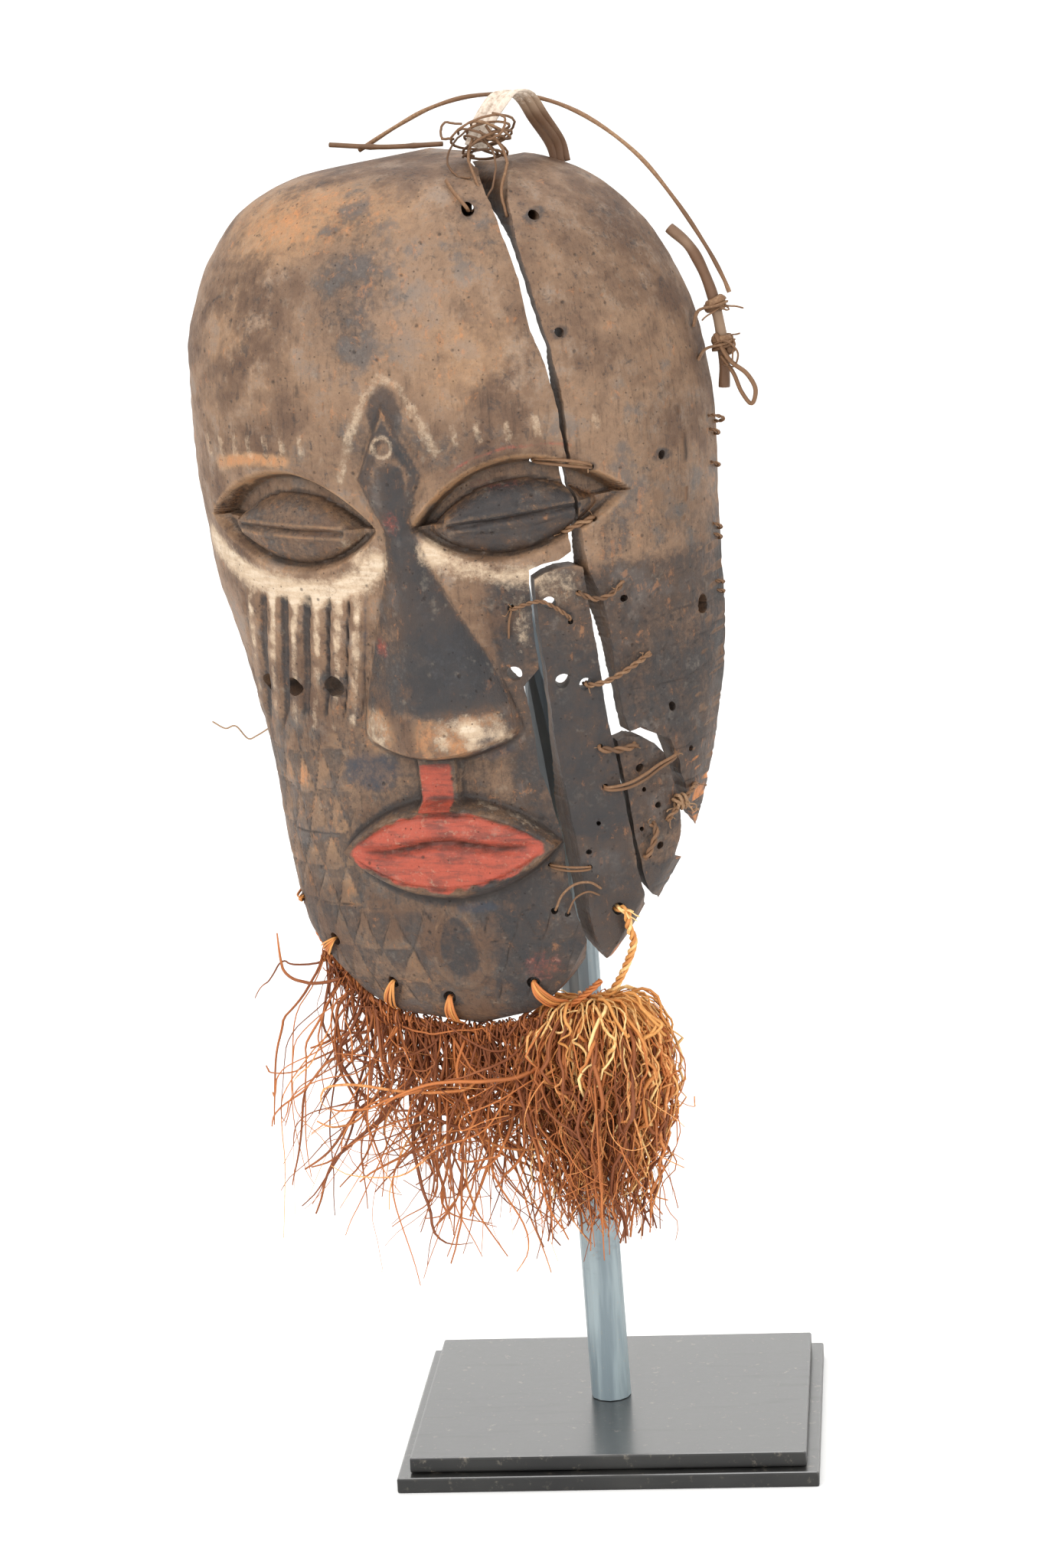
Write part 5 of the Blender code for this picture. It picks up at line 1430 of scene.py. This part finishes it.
class MASK_OT_stage(bpy.types.Operator):
    """Sets up the pale floor, the soft lights and the camera"""

    bl_idname = "mask.stage"
    bl_label = "Stage"

    def execute(self, context):
        colors = context.scene.mask_colors
        verts, faces = [], []
        profile = [(SWEEP * math.sin(t) + SWEEP_START, SWEEP - SWEEP * math.cos(t))
                   for t in np.linspace(0, math.pi / 2, 16)]
        profile = [(-3.5, 0.0)] + profile + [(SWEEP_START + SWEEP, 4.5)]
        for depth, height in profile:
            verts += [(-FLOOR_HALF, depth, height), (FLOOR_HALF, depth, height)]
        for row in range(len(profile) - 1):
            faces.append((row * 2, row * 2 + 1, row * 2 + 3, row * 2 + 2))
        floor = bpy.data.objects.new("floor", new_mesh("floor", verts, faces))
        context.scene.collection.objects.link(floor)
        floor.data.materials.append(floor_finish(colors))
        floor.data.shade_smooth()
        world = bpy.data.worlds.new("studio")
        context.scene.world = world
        world.use_nodes = True
        world.node_tree.nodes["Background"].inputs["Color"].default_value = (1.0, 0.99, 0.98, 1.0)
        world.node_tree.nodes["Background"].inputs["Strength"].default_value = 0.9
        for name, place, power, size, target in LIGHTS:
            lamp = bpy.data.lights.new(name, "AREA")
            lamp.energy = power
            lamp.size = size
            made = bpy.data.objects.new(name, lamp)
            context.scene.collection.objects.link(made)
            made.location = place
            aim = Vector(target) - Vector(place)
            made.rotation_euler = aim.to_track_quat("-Z", "Y").to_euler()
        context.scene.view_settings.view_transform = "Standard"
        pitch, roll, yaw = (math.radians(angle) for angle in CAMERA_TURN)
        ahead = Vector((math.sin(yaw), math.cos(yaw), 0.0))
        right = Vector((math.cos(yaw), -math.sin(yaw), 0.0))
        up = Vector((0.0, 0.0, 1.0))
        look = ahead * math.cos(pitch) - up * math.sin(pitch)
        rise = up * math.cos(pitch) + ahead * math.sin(pitch)
        side = right * math.cos(roll) + rise * math.sin(roll)
        top = rise * math.cos(roll) - right * math.sin(roll)
        camera = bpy.data.cameras.new("camera")
        camera.sensor_width = SENSOR
        camera.lens = FOCAL_PIXELS / FRAME_PIXELS * SENSOR
        camera.clip_end = 20.0
        eye = bpy.data.objects.new("camera", camera)
        context.scene.collection.objects.link(eye)
        turn = Matrix((side, top, -look)).transposed().to_4x4()
        eye.matrix_world = Matrix.Translation(CAMERA_PLACE) @ turn
        context.scene.camera = eye
        return {"FINISHED"}


class MASK_OT_stand(bpy.types.Operator):
    """Finishes the base boards and the tube"""

    bl_idname = "mask.stand"
    bl_label = "Stand"

    def execute(self, context):
        colors = context.scene.mask_colors
        black = board_finish(colors)
        for name in ("base_lower_board", "base_upper_board"):
            NODES[name].data.materials.clear()
            NODES[name].data.materials.append(black)
        NODES["stand_tube"].data.materials.clear()
        NODES["stand_tube"].data.materials.append(tube_finish(colors))
        return {"FINISHED"}


# Laces: each point is x, z and how far over the carved outside, in the mask's millimetres
LACES = {
    "lace_eye_upper": ("pair", 1.5, [
        (53.9, 30.8, -4), (54.6, 30.7, 1.4), (60.0, 30.0, 3.4), (67.0, 28.6, 3.2), (71.3, 27.0, 1.4),
        (71.9, 26.3, -4),
    ]),
    "lace_eye_lower": ("twist", 2.4, [
        (61.0, 3.2, -4), (61.9, 4.0, 1.4), (66.5, 6.2, 2.8), (70.4, 7.4, 1.4), (71.0, 7.3, -4),
    ]),
    "lace_slat_temple_upper": ("twist", 2.1, [
        (62.7, -19.4, -4), (62.9, -19.3, 1.3), (66.5, -21.8, 2.2), (70.5, -21.9, 2.4),
        (74.5, -19.6, 2.0), (76.6, -17.0, 1.3),
    ]),
    "lace_face_slat_upper": ("twist", 1.6, [
        (39.1, -22.2, -4), (39.3, -22.6, 1.2), (44.0, -21.2, 1.8), (49.5, -20.5, 1.9),
        (54.0, -23.3, 1.5), (58.2, -27.6, 1.2), (58.7, -29.7, -3),
    ]),
    "lace_slat_temple_middle": ("twist", 2.2, [
        (60.8, -54.1, -4), (61.9, -54.4, 1.4), (67.0, -53.6, 2.8), (72.0, -51.2, 3.2),
        (77.0, -48.4, 2.4), (81.5, -46.0, 1.3),
    ]),
    "lace_slat_jaw_upper": ("twist", 2.7, [
        (63.1, -78.2, -3), (63.6, -78.9, 1.5), (69.0, -79.8, 2.8), (73.9, -79.4, 1.5),
        (74.3, -79.6, -3),
    ]),
    "lace_slat_jaw_lower": ("pair", 1.5, [
        (63.4, -93.4, -3), (64.1, -94.1, 1.5), (70.0, -93.8, 2.8), (75.5, -91.7, 2.7),
        (80.0, -89.0, 2.2), (84.5, -86.8, 1.5), (86.4, -85.6, -2),
    ]),
    "lace_jaw_temple": ("knot", 2.2, [
        (80.2, -110.6, 1.2), (82.0, -107.5, 2.0), (84.5, -104.0, 2.8), (87.4, -100.8, 1.9),
        (89.8, -100.0, -3),
    ]),
    "lace_jaw_lower": ("twist", 2.4, [
        (74.6, -122.6, -3), (73.2, -122.2, 1.5), (75.2, -117.5, 2.7), (76.9, -111.4, 1.6),
        (75.6, -110.6, -3),
    ]),
    "lace_face_slat_lower": ("pair", 1.1, [
        (41.8, -120.7, -3), (42.5, -121.0, 1.2), (48.5, -122.6, 1.8), (54.9, -123.2, 1.2),
        (55.4, -123.1, -3),
    ]),
}
HOOP = [
    (-27, 144.6), (-10.2, 152.6), (4.5, 158.2), (21.5, 160.9), (42.6, 159.0), (62.7, 150.5),
    (82.0, 134.6), (95.5, 116.1), (105.6, 98.4), (111.0, 86.5), (113.0, 80.5),
]
ROD = [
    (92.0, 106.0), (98.5, 99.5), (102.5, 92.0), (106.0, 81.0), (108.0, 68.0), (108.4, 55.0),
    (107.5, 45.5),
]
STRAP = [
    (30.0, -33, 143.0), (33.5, -30, 152.5), (39.5, -24, 160.8), (44.0, -15, 160.0), (46.5, -7, 151.0),
    (49.0, 2.6, 141.0), (50.0, 3.4, 133.0),
]


HOOP_RADIUS, STICK_RADIUS, ROD_RADIUS, STRAP_WIDTH = 0.00105, 0.00095, 0.0024, 0.0085
HOOP_STEPS, STICK_STEPS, ROD_STEPS, STRAP_STEPS = 60, 30, 40, 44


class MASK_OT_bindings(bpy.types.Operator):
    """Makes the laces, the knot and strap on the crown, the hoop and the ties on the rim"""

    bl_idname = "mask.bindings"
    bl_label = "Laces and bindings"

    def laces(self, look):
        for index, (name, (kind, width, spots)) in enumerate(LACES.items()):
            bundle = Bundle()
            course = through([over_skin(*spot_at) for spot_at in spots], 30)
            thick = width * UNIT
            if kind == "pair":
                apart = np.array((0.0, 0.0, thick * 0.62))
                bow_out = np.sin(np.linspace(0, math.pi, len(course)))[:, None]
                bundle.strand(course + apart * bow_out, thick * 0.5, 0.55, 7, 0.8)
                bundle.strand(course - apart * bow_out, thick * 0.5, 0.40, 7, 0.8)
            else:
                bundle.twisted(course, thick, 0.5 + 0.08 * math.sin(index * 2.1), 2, 3.4, 7)
            rng = np.random.default_rng(70 + index)
            for spot_at in (course[3], course[-4]):
                for _ in range(2):
                    path = hair(rng, spot_at, rng.normal(size=3) + np.array((0, -1.2, 0)),
                                rng.uniform(3, 7) * UNIT, 6, 0.9, 0.2)
                    bundle.strand(path, 0.00022, 0.7, 4)
            if kind == "knot":
                centre = over_skin(83.6, -104.2, 2.6)
                for turn in range(2):
                    ring = loops(centre, (0.6, 0.3, 1.0 - turn), 2.6 * UNIT, 2.2, 2.4 * UNIT, 8 + turn)
                    bundle.strand(ring, 0.0007, 0.75, 5)
                for _ in range(5):
                    path = hair(rng, centre, rng.normal(size=3) + np.array((0.8, -0.5, -0.2)),
                                rng.uniform(6, 11) * UNIT, 7, 0.7, 0.2)
                    bundle.strand(path, 0.0003, 0.85, 4)
            settle(bundle.made("twisted_" + name), look, [name])
        extra = Bundle()
        arc = [(41.8, -138.6, -2), (42.4, -137.0, 1.5), (45.0, -131.5, 4.2), (49.5, -127.8, 5.2),
               (54.5, -128.0, 4.0), (58.2, -131.5, 1.6)]
        extra.strand(through([over_skin(*spot_at) for spot_at in arc], 26), 0.0005, 0.6, 6)
        second = [(46.2, -140.4, -2), (46.6, -138.6, 1.4), (49.2, -133.5, 3.6), (53.6, -131.5, 3.8),
                  (57.4, -134.0, 1.4)]
        extra.strand(through([over_skin(*spot_at) for spot_at in second], 22), 0.0004, 0.45, 6)
        branch = [(39.3, -22.8, 1.2), (37.8, -27.0, 1.3), (36.6, -33.5, 1.0)]
        extra.strand(through([over_skin(*spot_at) for spot_at in branch], 12), 0.00045, 0.5, 6)
        fibre = [(-110.0, -18, -71), (-104.0, -20, -73.5), (-99.0, -21, -72.5), (-94.0, -22, -77.5),
                 (-89.0, -24, -76.0), (-83.0, -26, -73.0)]
        extra.strand(through([at_mask(*spot_at) for spot_at in fibre], 30), 0.00032, 0.95, 5)
        for x, z, size in ((104.0, 34.0, 3.4), (103.2, 30.0, 3.0), (102.4, 18.0, 2.8), (100.6, -6.0, 3.0),
                           (100.0, -10.0, 2.6), (99.4, -27.0, 3.0), (99.2, -30.5, 2.4)):
            centre = at_mask(x - 1.6, -5.0, z)
            extra.twisted(loops(centre, (0.15, 0.45, 1.0), size * UNIT, 1.15, 1.6 * UNIT, int(x * 7 + z)),
                          0.0015, 0.5, 2, 3.0, 5)
        twig = [over_skin(33.5, 121.5, -2.0), over_skin(32.0, 123.5, 1.0), over_skin(27.0, 128.5, 2.2),
                over_skin(22.5, 133.0, 2.6)]
        extra.strand(through(twig, 14), 0.0008, 0.55, 6, 0.6)
        settle(extra.made("loose_cane"), look)

    def crown(self, look, pale):
        hoop = Bundle()
        course = through([at_mask(x, -4, z) for x, z in HOOP], HOOP_STEPS)
        steps = np.arange(HOOP_STEPS)
        tones = 0.55 + 0.2 * np.sin(steps * 0.23)
        hoop.strand(course, HOOP_RADIUS + 0.00010 * np.sin(steps * 0.9), tones, 8, 0.8)
        settle(hoop.made("thin_hoop"), look, ["crown_hoop"])
        stick = Bundle()
        course = through([at_mask(-36, -11, 148.0), at_mask(-14, -12, 145.4), at_mask(10, -13, 144.6)],
                         STICK_STEPS)
        steps = np.arange(STICK_STEPS)
        knots = 1.0 + 0.25 * np.exp(-((steps - 11) / 1.2) ** 2) + 0.2 * np.exp(-((steps - 22) / 1.0) ** 2)
        stick.strand(course, STICK_RADIUS * knots, 0.35, 8)
        settle(stick.made("cane_stick"), look, ["crown_stick"])
        strap = Bundle()
        course = through([at_mask(*spot_at) for spot_at in STRAP], STRAP_STEPS)
        along = np.linspace(0.0, 1.0, STRAP_STEPS)
        shade = 0.85 - 0.75 * smooth((along - 0.45) / 0.25)
        aim = MASK_POSE.to_3x3() @ Vector((1.0, 0.25, 0.0))
        for across, share, lift in ((-0.24, 0.24, 0.0), (0.06, 0.22, 0.00025), (0.32, 0.17, -0.0001)):
            sides, fronts = squared(course, aim)
            waver = 0.00016 * np.sin(along * 17 + across * 9)[:, None]
            path = course + sides * (across * STRAP_WIDTH + waver) + fronts * lift
            width = STRAP_WIDTH * share * (1.0 - 0.25 * along ** 6)
            strap.strand(path, width, shade + 0.12 * across, 8, 0.40, 0.0, aim)
        settle(strap.made("split_cane_strap"), pale, ["crown_band"])
        knot = Bundle()
        centre = at_mask(32.0, -31.5, 147.0)
        for index in range(5):
            path = loops(centre + np.array((0.0008 * index, 0.0, (index - 2.6) * 0.0019)),
                         (0.5 * math.sin(index * 2.1), 0.4, 1.0),
                         0.0058 + 0.0022 * (index % 3), 1.8, 0.0034, 11 + index, 0.3)
            knot.strand(path, 0.00050, 0.30 + 0.10 * index, 6)
        rng = np.random.default_rng(9)
        hanging = [
            [(29, -38, 150), (24, -41, 145), (22, -43, 139), (26, -45, 134), (31, -46, 133)],
            [(34, -38, 149), (38, -40, 146), (43, -40, 148), (44, -38, 153), (39, -36, 155)],
            [(31, -38, 147), (30, -42, 140), (33, -46, 133), (36.5, -49, 126), (36.0, -53, 119)],
            [(35, -38, 147), (40, -42, 140), (40.5, -46, 131), (37, -50, 124), (33, -54, 121)],
            [(27, -37, 152), (20, -37, 153), (19, -38, 148), (24, -39, 147)],
            [(36, -37, 151), (42, -38, 142), (44.5, -42, 136), (43.0, -47, 127), (45.5, -51, 118)],
        ]
        for index, spots in enumerate(hanging):
            path = through([at_mask(*spot_at) for spot_at in spots], 22)
            knot.strand(path + rng.normal(size=(22, 3)) * 0.00012, 0.00042 + 0.00008 * (index % 3),
                        0.35 + 0.1 * (index % 3), 6)
        settle(knot.made("wiry_crown_knot"), look, ["crown_knot"])

    def rim(self, look, pale):
        rod = Bundle()
        course = through([at_mask(x, -3.5, z) for x, z in ROD], ROD_STEPS)
        along = np.arange(ROD_STEPS)
        tone = 0.14 + 0.14 * np.sin(along * 0.31)
        rod.strand(course, ROD_RADIUS + 0.00012 * np.sin(along * 0.7), tone, 10, 0.85)
        settle(rod.made("rim_rod"), pale, ["rim_cane"])
        for index, (label, level) in enumerate((("rim_tie_upper", 75.2), ("rim_tie_lower", 62.0))):
            tie = Bundle()
            height = at_mask(107.0, -3.5, level)[2]
            near = int(np.argmin(np.abs(course[:, 2] - height)))
            centre = course[near]
            tilt = (-0.10 - 0.22 * (1 - index), 0.0, 1.0)
            for turn in range(2):
                path = loops(centre + np.array((0.0, 0.0, (turn - 0.5) * 0.0021)), tilt, 0.0036, 1.15,
                             0.0011, 20 + index + turn, 0.05, 2.0)
                tie.strand(path, 0.0016, 0.40 + 0.25 * turn, 6, 0.32, math.pi / 2)
            across = through([centre + np.array((0.0042, -0.0014, 0.0012)),
                              centre + np.array((0.0, -0.0044, 0.0)),
                              centre + np.array((-0.0062, -0.0034, -0.0015)),
                              at_mask(99.5, -9.0, level - 6.0)], 16)
            tie.strand(across, 0.0017, 0.62, 6, 0.32, 0.3)
            rng = np.random.default_rng(33 + index)
            for _ in range(3):
                path = hair(rng, centre + np.array((0.003, -0.002, 0.0)),
                            rng.normal(size=3) * 0.6 + np.array((0.5, -0.4, -0.5)),
                            rng.uniform(8, 14) * UNIT, 8, 0.5, 0.15)
                tie.strand(path, 0.00035, 0.55, 4)
            settle(tie.made("flat_" + label), look, [label])
        loop = Bundle()
        spots = [(107, -7, 66), (110.5, -8, 58.0), (113.5, -9, 54.5), (118.2, -9, 50.5), (121.0, -9, 44.5),
                 (119.0, -9, 39.2), (115.5, -9, 44.0), (112.8, -8, 51.0), (108.5, -7, 57.5)]
        loop.strand(through([at_mask(*spot_at) for spot_at in spots], 46), 0.0013, 0.5, 6, 0.6)
        curl = [(106, -8, 62), (111.5, -9, 63), (115.5, -9, 58.5), (113.5, -9, 53.5), (109.0, -8, 54.5)]
        loop.strand(through([at_mask(*spot_at) for spot_at in curl], 26), 0.0006, 0.4, 6, 0.6)
        settle(loop.made("hanging_cane_loop"), look, ["rim_hanging_loop"])

    def execute(self, context):
        colors = context.scene.mask_colors
        cane = cane_finish("old_cane", colors.cane_dark, colors.cane_mid, colors.cane_light)
        pale = cane_finish("pale_split_cane", colors.strap_dark, colors.strap_mid, colors.strap_light, 0.7)
        self.laces(cane)
        self.crown(cane, pale)
        self.rim(cane, pale)
        return {"FINISHED"}


FRINGE_START, FRINGE_RUN = -65.0, 102.0
FRINGE_LOOPS, GOLD_STRANDS, LOOSE_STRANDS, GOLD_CURLS = 90, 130, 34, 26
FRINGE_STEPS, TUFT_STEPS, TUFT_ROWS, TUFT_HEIGHT = 28, 26, 15, 0.092
CHIN_HOLES = ((-66.5, -135.0, 2.6), (-50.5, -149.0, 3.4), (-28.0, -166.0, 3.2), (-5.7, -172.4, 3.0),
              (28.5, -167.0, 3.6))


class MASK_OT_beard(bpy.types.Operator):
    """Makes the raffia fringe and tuft, strand by strand"""

    bl_idname = "mask.beard"
    bl_label = "Raffia beard"

    def fringe(self, sizes, look):
        rng = np.random.default_rng(sizes.seed)
        bundle = Bundle()
        share = 1.0
        for index in range(int(sizes.fringe_strands * share)):
            x = FRINGE_START + FRINGE_RUN * rng.beta(1.2, 1.0)
            level = chin_height(x)
            root = at_mask(x, rim_middle(level) + rng.uniform(-3.5, 3.5),
                           level - 2.5 - rng.uniform(0, 2.5))
            floor_level = 0.104 + 0.010 * math.sin(x * 0.11) + rng.normal(0, 0.009)
            length = (root[2] - floor_level) * rng.choice((1.0, 1.0, 0.92, 0.75, 0.5)) * 1.13
            side = (x + 12.0) / 60.0
            heading = (0.18 + 0.24 * min(side, 0.4) + rng.normal(0, 0.26), rng.normal(0, 0.10), -1.0)
            waver, pull, width = 0.26, 0.10, 0.5 * sizes.strand_width * rng.uniform(0.6, 1.9)
            shade = rng.beta(1.6, 2.2)
            if index % 9 == 0:
                heading = (rng.normal(0.25 * side, 0.5), rng.normal(0, 0.1), -1.0)
                length = length * rng.uniform(0.9, 1.16)
                waver, pull, width, shade = 0.22, 0.07, width * 0.6, 0.55 + 0.4 * rng.random()
            if index % 11 == 0 and x < -48.0:
                heading = (-1.0, rng.normal(0, 0.1), rng.uniform(-0.9, 0.0))
                length = rng.uniform(0.020, 0.046)
                waver, pull = 0.16, 0.05
            path = hair(rng, root, heading, length, 13, waver, 0.34, pull)
            centre = at_mask(x, rim_middle(level), level)[1]
            path[:, 1] = centre + np.clip((path[:, 1] - centre) * 0.6, -0.015, 0.013)
            leftmost = -0.112 - 0.018 * rng.random()
            beyond = leftmost + (path[:, 0] - leftmost) * 0.2
            path[:, 0] = np.where(path[:, 0] < leftmost, beyond, path[:, 0])
            path[:, 0] = np.minimum(path[:, 0], 0.004)
            path[:, 2] = np.maximum(path[:, 2], 0.080)
            path = through(path, FRINGE_STEPS)
            along = np.linspace(0, 1, FRINGE_STEPS)
            taper = 1.0 - 0.6 * along ** 2
            tone = shade * 0.75 + 0.22 * along
            bundle.strand(path, width * taper, tone, 4, 0.45, rng.uniform(0, 3.1))
        for index in range(int(FRINGE_LOOPS * share)):
            x = -62.0 + 96.0 * index / (FRINGE_LOOPS * share)
            level = chin_height(x)
            centre = at_mask(x, rim_middle(level), level - 3.5)
            path = loops(centre, (1.0, rng.normal(0, 0.4), rng.normal(0, 0.5)),
                         rng.uniform(0.0022, 0.0042), rng.uniform(1.2, 2.2), 0.005, index, 0.2)
            bundle.strand(path, 0.00045, rng.uniform(0.05, 0.6), 4, 0.5)
        settle(bundle.made("raffia_fringe"), look, ["beard_fringe"])

    def tuft(self, sizes, look):
        rng = np.random.default_rng(sizes.seed + 1)
        share = 1.0
        crown = at_mask(43.0, -37.0, chin_height(43.0) - 7.5)
        rust, bright = Bundle(), Bundle()
        golden = int(GOLD_STRANDS * share)
        for index in range(int(sizes.tuft_strands * share) + golden):
            turn = rng.uniform(0, 2 * math.pi)
            spread = rng.uniform(0.15, 1.0) ** 0.6
            root = crown + np.array((0.010 * spread * math.cos(turn), 0.008 * spread * math.sin(turn),
                                     -0.004 * spread ** 2))
            is_gold = index >= int(sizes.tuft_strands * share)
            if is_gold:
                turn = rng.uniform(math.pi * 0.95, math.pi * 2.1)
                spread = rng.uniform(0.6, 1.02)
                root = crown + np.array((0.006 * math.cos(turn), 0.006 * math.sin(turn), 0.0))
            broad, deep = 0.0218 * spread, 0.0195 * spread
            foot = rng.uniform(0.52, 1.02) * TUFT_HEIGHT
            if is_gold:
                foot = foot * rng.uniform(0.35, 0.95)
            lean = rng.normal(0, 0.26)
            t = np.linspace(0.0, 1.0, TUFT_ROWS)
            drawn_in = 1.0 - 0.54 * smooth((t - 0.40) / 0.60)
            out = np.sin(np.clip(t * 3.0, 0.0, 1.0) * math.pi / 2) * drawn_in
            across = turn + lean * t * 2.0
            path = np.stack([root[0] + broad * out * np.cos(across), root[1] + deep * out * np.sin(across),
                             root[2] - foot * t ** 1.15
                             + 0.006 * np.sin(np.clip(t * 4.0, 0, 1) * math.pi) * spread], axis=1)
            shake = rng.normal(size=(TUFT_ROWS, 3)) * np.array((0.0020, 0.0014, 0.0016)) * (0.25 + t[:, None])
            slow = np.sin(t[:, None] * rng.uniform(6, 15, 3) + rng.uniform(0, 6, 3))
            slow = slow * np.array((0.0018, 0.0012, 0.0014))
            path = path + shake + slow
            if rng.random() < 0.07:
                away = np.array((math.cos(turn), 0.2 * math.sin(turn), -0.2))
                path = path + away * 0.012 * t[:, None] ** 2
            path[:, 1] = np.minimum(path[:, 1], -0.0285)
            path = through(path, TUFT_STEPS)
            width = sizes.strand_width * 0.5 * rng.uniform(0.6, 1.7)
            taper = 1.0 - 0.5 * np.linspace(0, 1, TUFT_STEPS) ** 3
            if is_gold:
                bright.strand(path, width * 1.05 * taper, rng.uniform(0.35, 1.0), 4, 0.4,
                              rng.uniform(0, 3.1))
            else:
                tone = rng.beta(2.0, 2.2) + 0.15 * np.linspace(1, 0, TUFT_STEPS)
                rust.strand(path, width * taper, tone, 4, 0.45, rng.uniform(0, 3.1))
        for index in range(int(LOOSE_STRANDS * share)):
            scatter = rng.normal(size=3) * np.array((0.012, 0.006, 0.004))
            root = crown + scatter + np.array((0.0, -0.004, -0.030))
            path = hair(rng, root, (rng.normal(0.1, 0.8), rng.normal(0, 0.2), -0.8),
                        rng.uniform(0.030, 0.068), 12, 0.25, 0.1, 0.05)
            path[:, 0] = np.clip(path[:, 0], -0.030, 0.040)
            path[:, 1] = np.clip(path[:, 1], -0.074, -0.0285)
            path[:, 2] = np.maximum(path[:, 2], 0.086)
            rust.strand(through(path, 22), 0.00028, rng.uniform(0.5, 0.95), 4, 0.6)
        for index in range(int(GOLD_CURLS * share)):
            centre = crown + np.array((rng.uniform(-0.014, 0.006), -0.010 + rng.uniform(-0.004, 0.002),
                                       rng.uniform(-0.016, -0.003)))
            path = loops(centre, (0.3, 1.0, rng.normal(0, 0.4)), rng.uniform(0.004, 0.008),
                         rng.uniform(0.5, 1.3), 0.003, 50 + index)
            bright.strand(path, 0.0005, rng.uniform(0.5, 1.0), 4, 0.45, rng.uniform(0, 3.1))
        settle(rust.made("raffia_tuft"), look, ["beard_tuft"])
        return bright, crown

    def cords(self, bright, crown, gold):
        tail = [over_skin(63.0, -141.0, -3), over_skin(64.2, -142.0, 2.4), over_skin(63.0, -149.0, 3.0),
                over_skin(60.0, -158.0, 4.0), crown + np.array((0.008, -0.006, 0.006)),
                crown + np.array((-0.001, -0.005, 0.002))]
        bright.twisted(through(tail, 50), 0.0030, 0.62, 3, 3.6, 6)
        rng = np.random.default_rng(77)
        for _ in range(6):
            path = hair(rng, tail[1], rng.normal(size=3) + np.array((0, -0.8, 0.2)),
                        rng.uniform(4, 10) * UNIT, 6, 0.5, 0.1)
            bright.strand(path, 0.0003, 0.9, 4)
        settle(bright.made("golden_tail"), gold, ["tuft_cord"])
        chin = Bundle()
        spots = []
        for step in range(19):
            x = -66.0 + 116.0 * step / 18
            level = chin_height(x)
            spots.append(at_mask(x, rim_middle(level), level - 2.3))
        spots.append(crown + np.array((-0.006, 0.0, 0.001)))
        chin.twisted(through(spots, 90), 0.0024, -0.15, 3, 3.4, 6)
        levels = np.linspace(-186.0, -118.0, 160)
        for index, (x, z, width) in enumerate(CHIN_HOLES):
            outline = half_width(np.full(160, x), levels) * (1.0 if x > 0 else -1.0)
            best = int(np.argmin(np.hypot(outline - x, levels - z)))
            way = np.array((outline[best] - x, levels[best] - z))
            reach = max(float(np.hypot(*way)), 3.0)
            way = way / reach
            nx = float(outward(x, z)[0])
            front, rim = float(skin_y(x, z)), rim_middle(levels[best])
            for strand in range(5):
                shift = (strand - 2.0) * width / 5.0
                sx, sz = -way[1] * shift, way[0] * shift
                course = [at_mask(x, front + 3.0, z), at_mask(x + nx + sx * 0.4, front - 0.8, z + sz * 0.4)]
                for share in (0.35, 0.75, 1.05):
                    px, pz = x + way[0] * reach * share, z + way[1] * reach * share
                    level = front + (rim - front) * share ** 2.5 - 1.6 * (1.0 - share * 0.3)
                    course.append(at_mask(px + sx * (1.0 + share), level, pz + sz * (1.0 + share)))
                course.append(at_mask(x + way[0] * reach * 1.15 + sx * 2.0, rim,
                                      z + way[1] * reach * 1.1 - 4.5))
                jitter = np.random.default_rng(200 + index * 7 + strand).normal(size=3) * 0.0002
                tone = 0.35 + 0.25 * math.sin(strand * 1.7 + index)
                chin.strand(through(course, 24) + jitter, 0.00052, tone, 6, 0.6)
        settle(chin.made("chin_cord"), gold, ["beard_cord"])

    def execute(self, context):
        colors = context.scene.mask_colors
        sizes = context.scene.mask_sizes
        rust = raffia_finish("rust_raffia", colors.rust_dark, colors.rust_mid, colors.rust_light)
        gold = raffia_finish("golden_raffia", colors.rust_mid, colors.gold_mid, colors.gold_light)
        self.fringe(sizes, rust)
        bright, crown = self.tuft(sizes, rust)
        self.cords(bright, crown, gold)
        return {"FINISHED"}


class MASK_PT_panel(bpy.types.Panel):
    """Lists the pieces of the mask"""

    bl_idname = "MASK_PT_panel"
    bl_label = "Carved mask"
    bl_space_type = "VIEW_3D"
    bl_region_type = "UI"
    bl_category = "Mask"

    def draw(self, context):
        for operator in OPERATORS:
            self.layout.operator(operator.bl_idname)
        for group in (context.scene.mask_sizes, context.scene.mask_colors):
            for name in group.__annotations__:
                self.layout.prop(group, name)


OPERATORS = (MASK_OT_stage, MASK_OT_stand, MASK_OT_boards, MASK_OT_bindings, MASK_OT_beard)
CLASSES = (MaskColors, MaskSizes, *OPERATORS, MASK_PT_panel)


def register():
    for made in CLASSES:
        bpy.utils.register_class(made)
    bpy.types.Scene.mask_colors = PointerProperty(type=MaskColors)
    bpy.types.Scene.mask_sizes = PointerProperty(type=MaskSizes)


def unregister():
    del bpy.types.Scene.mask_sizes
    del bpy.types.Scene.mask_colors
    for made in reversed(CLASSES):
        bpy.utils.unregister_class(made)


def main():
    register()
    for operator in OPERATORS:
        group, name = operator.bl_idname.split(".")
        getattr(getattr(bpy.ops, group), name)()


if __name__ == "__main__":
    main()
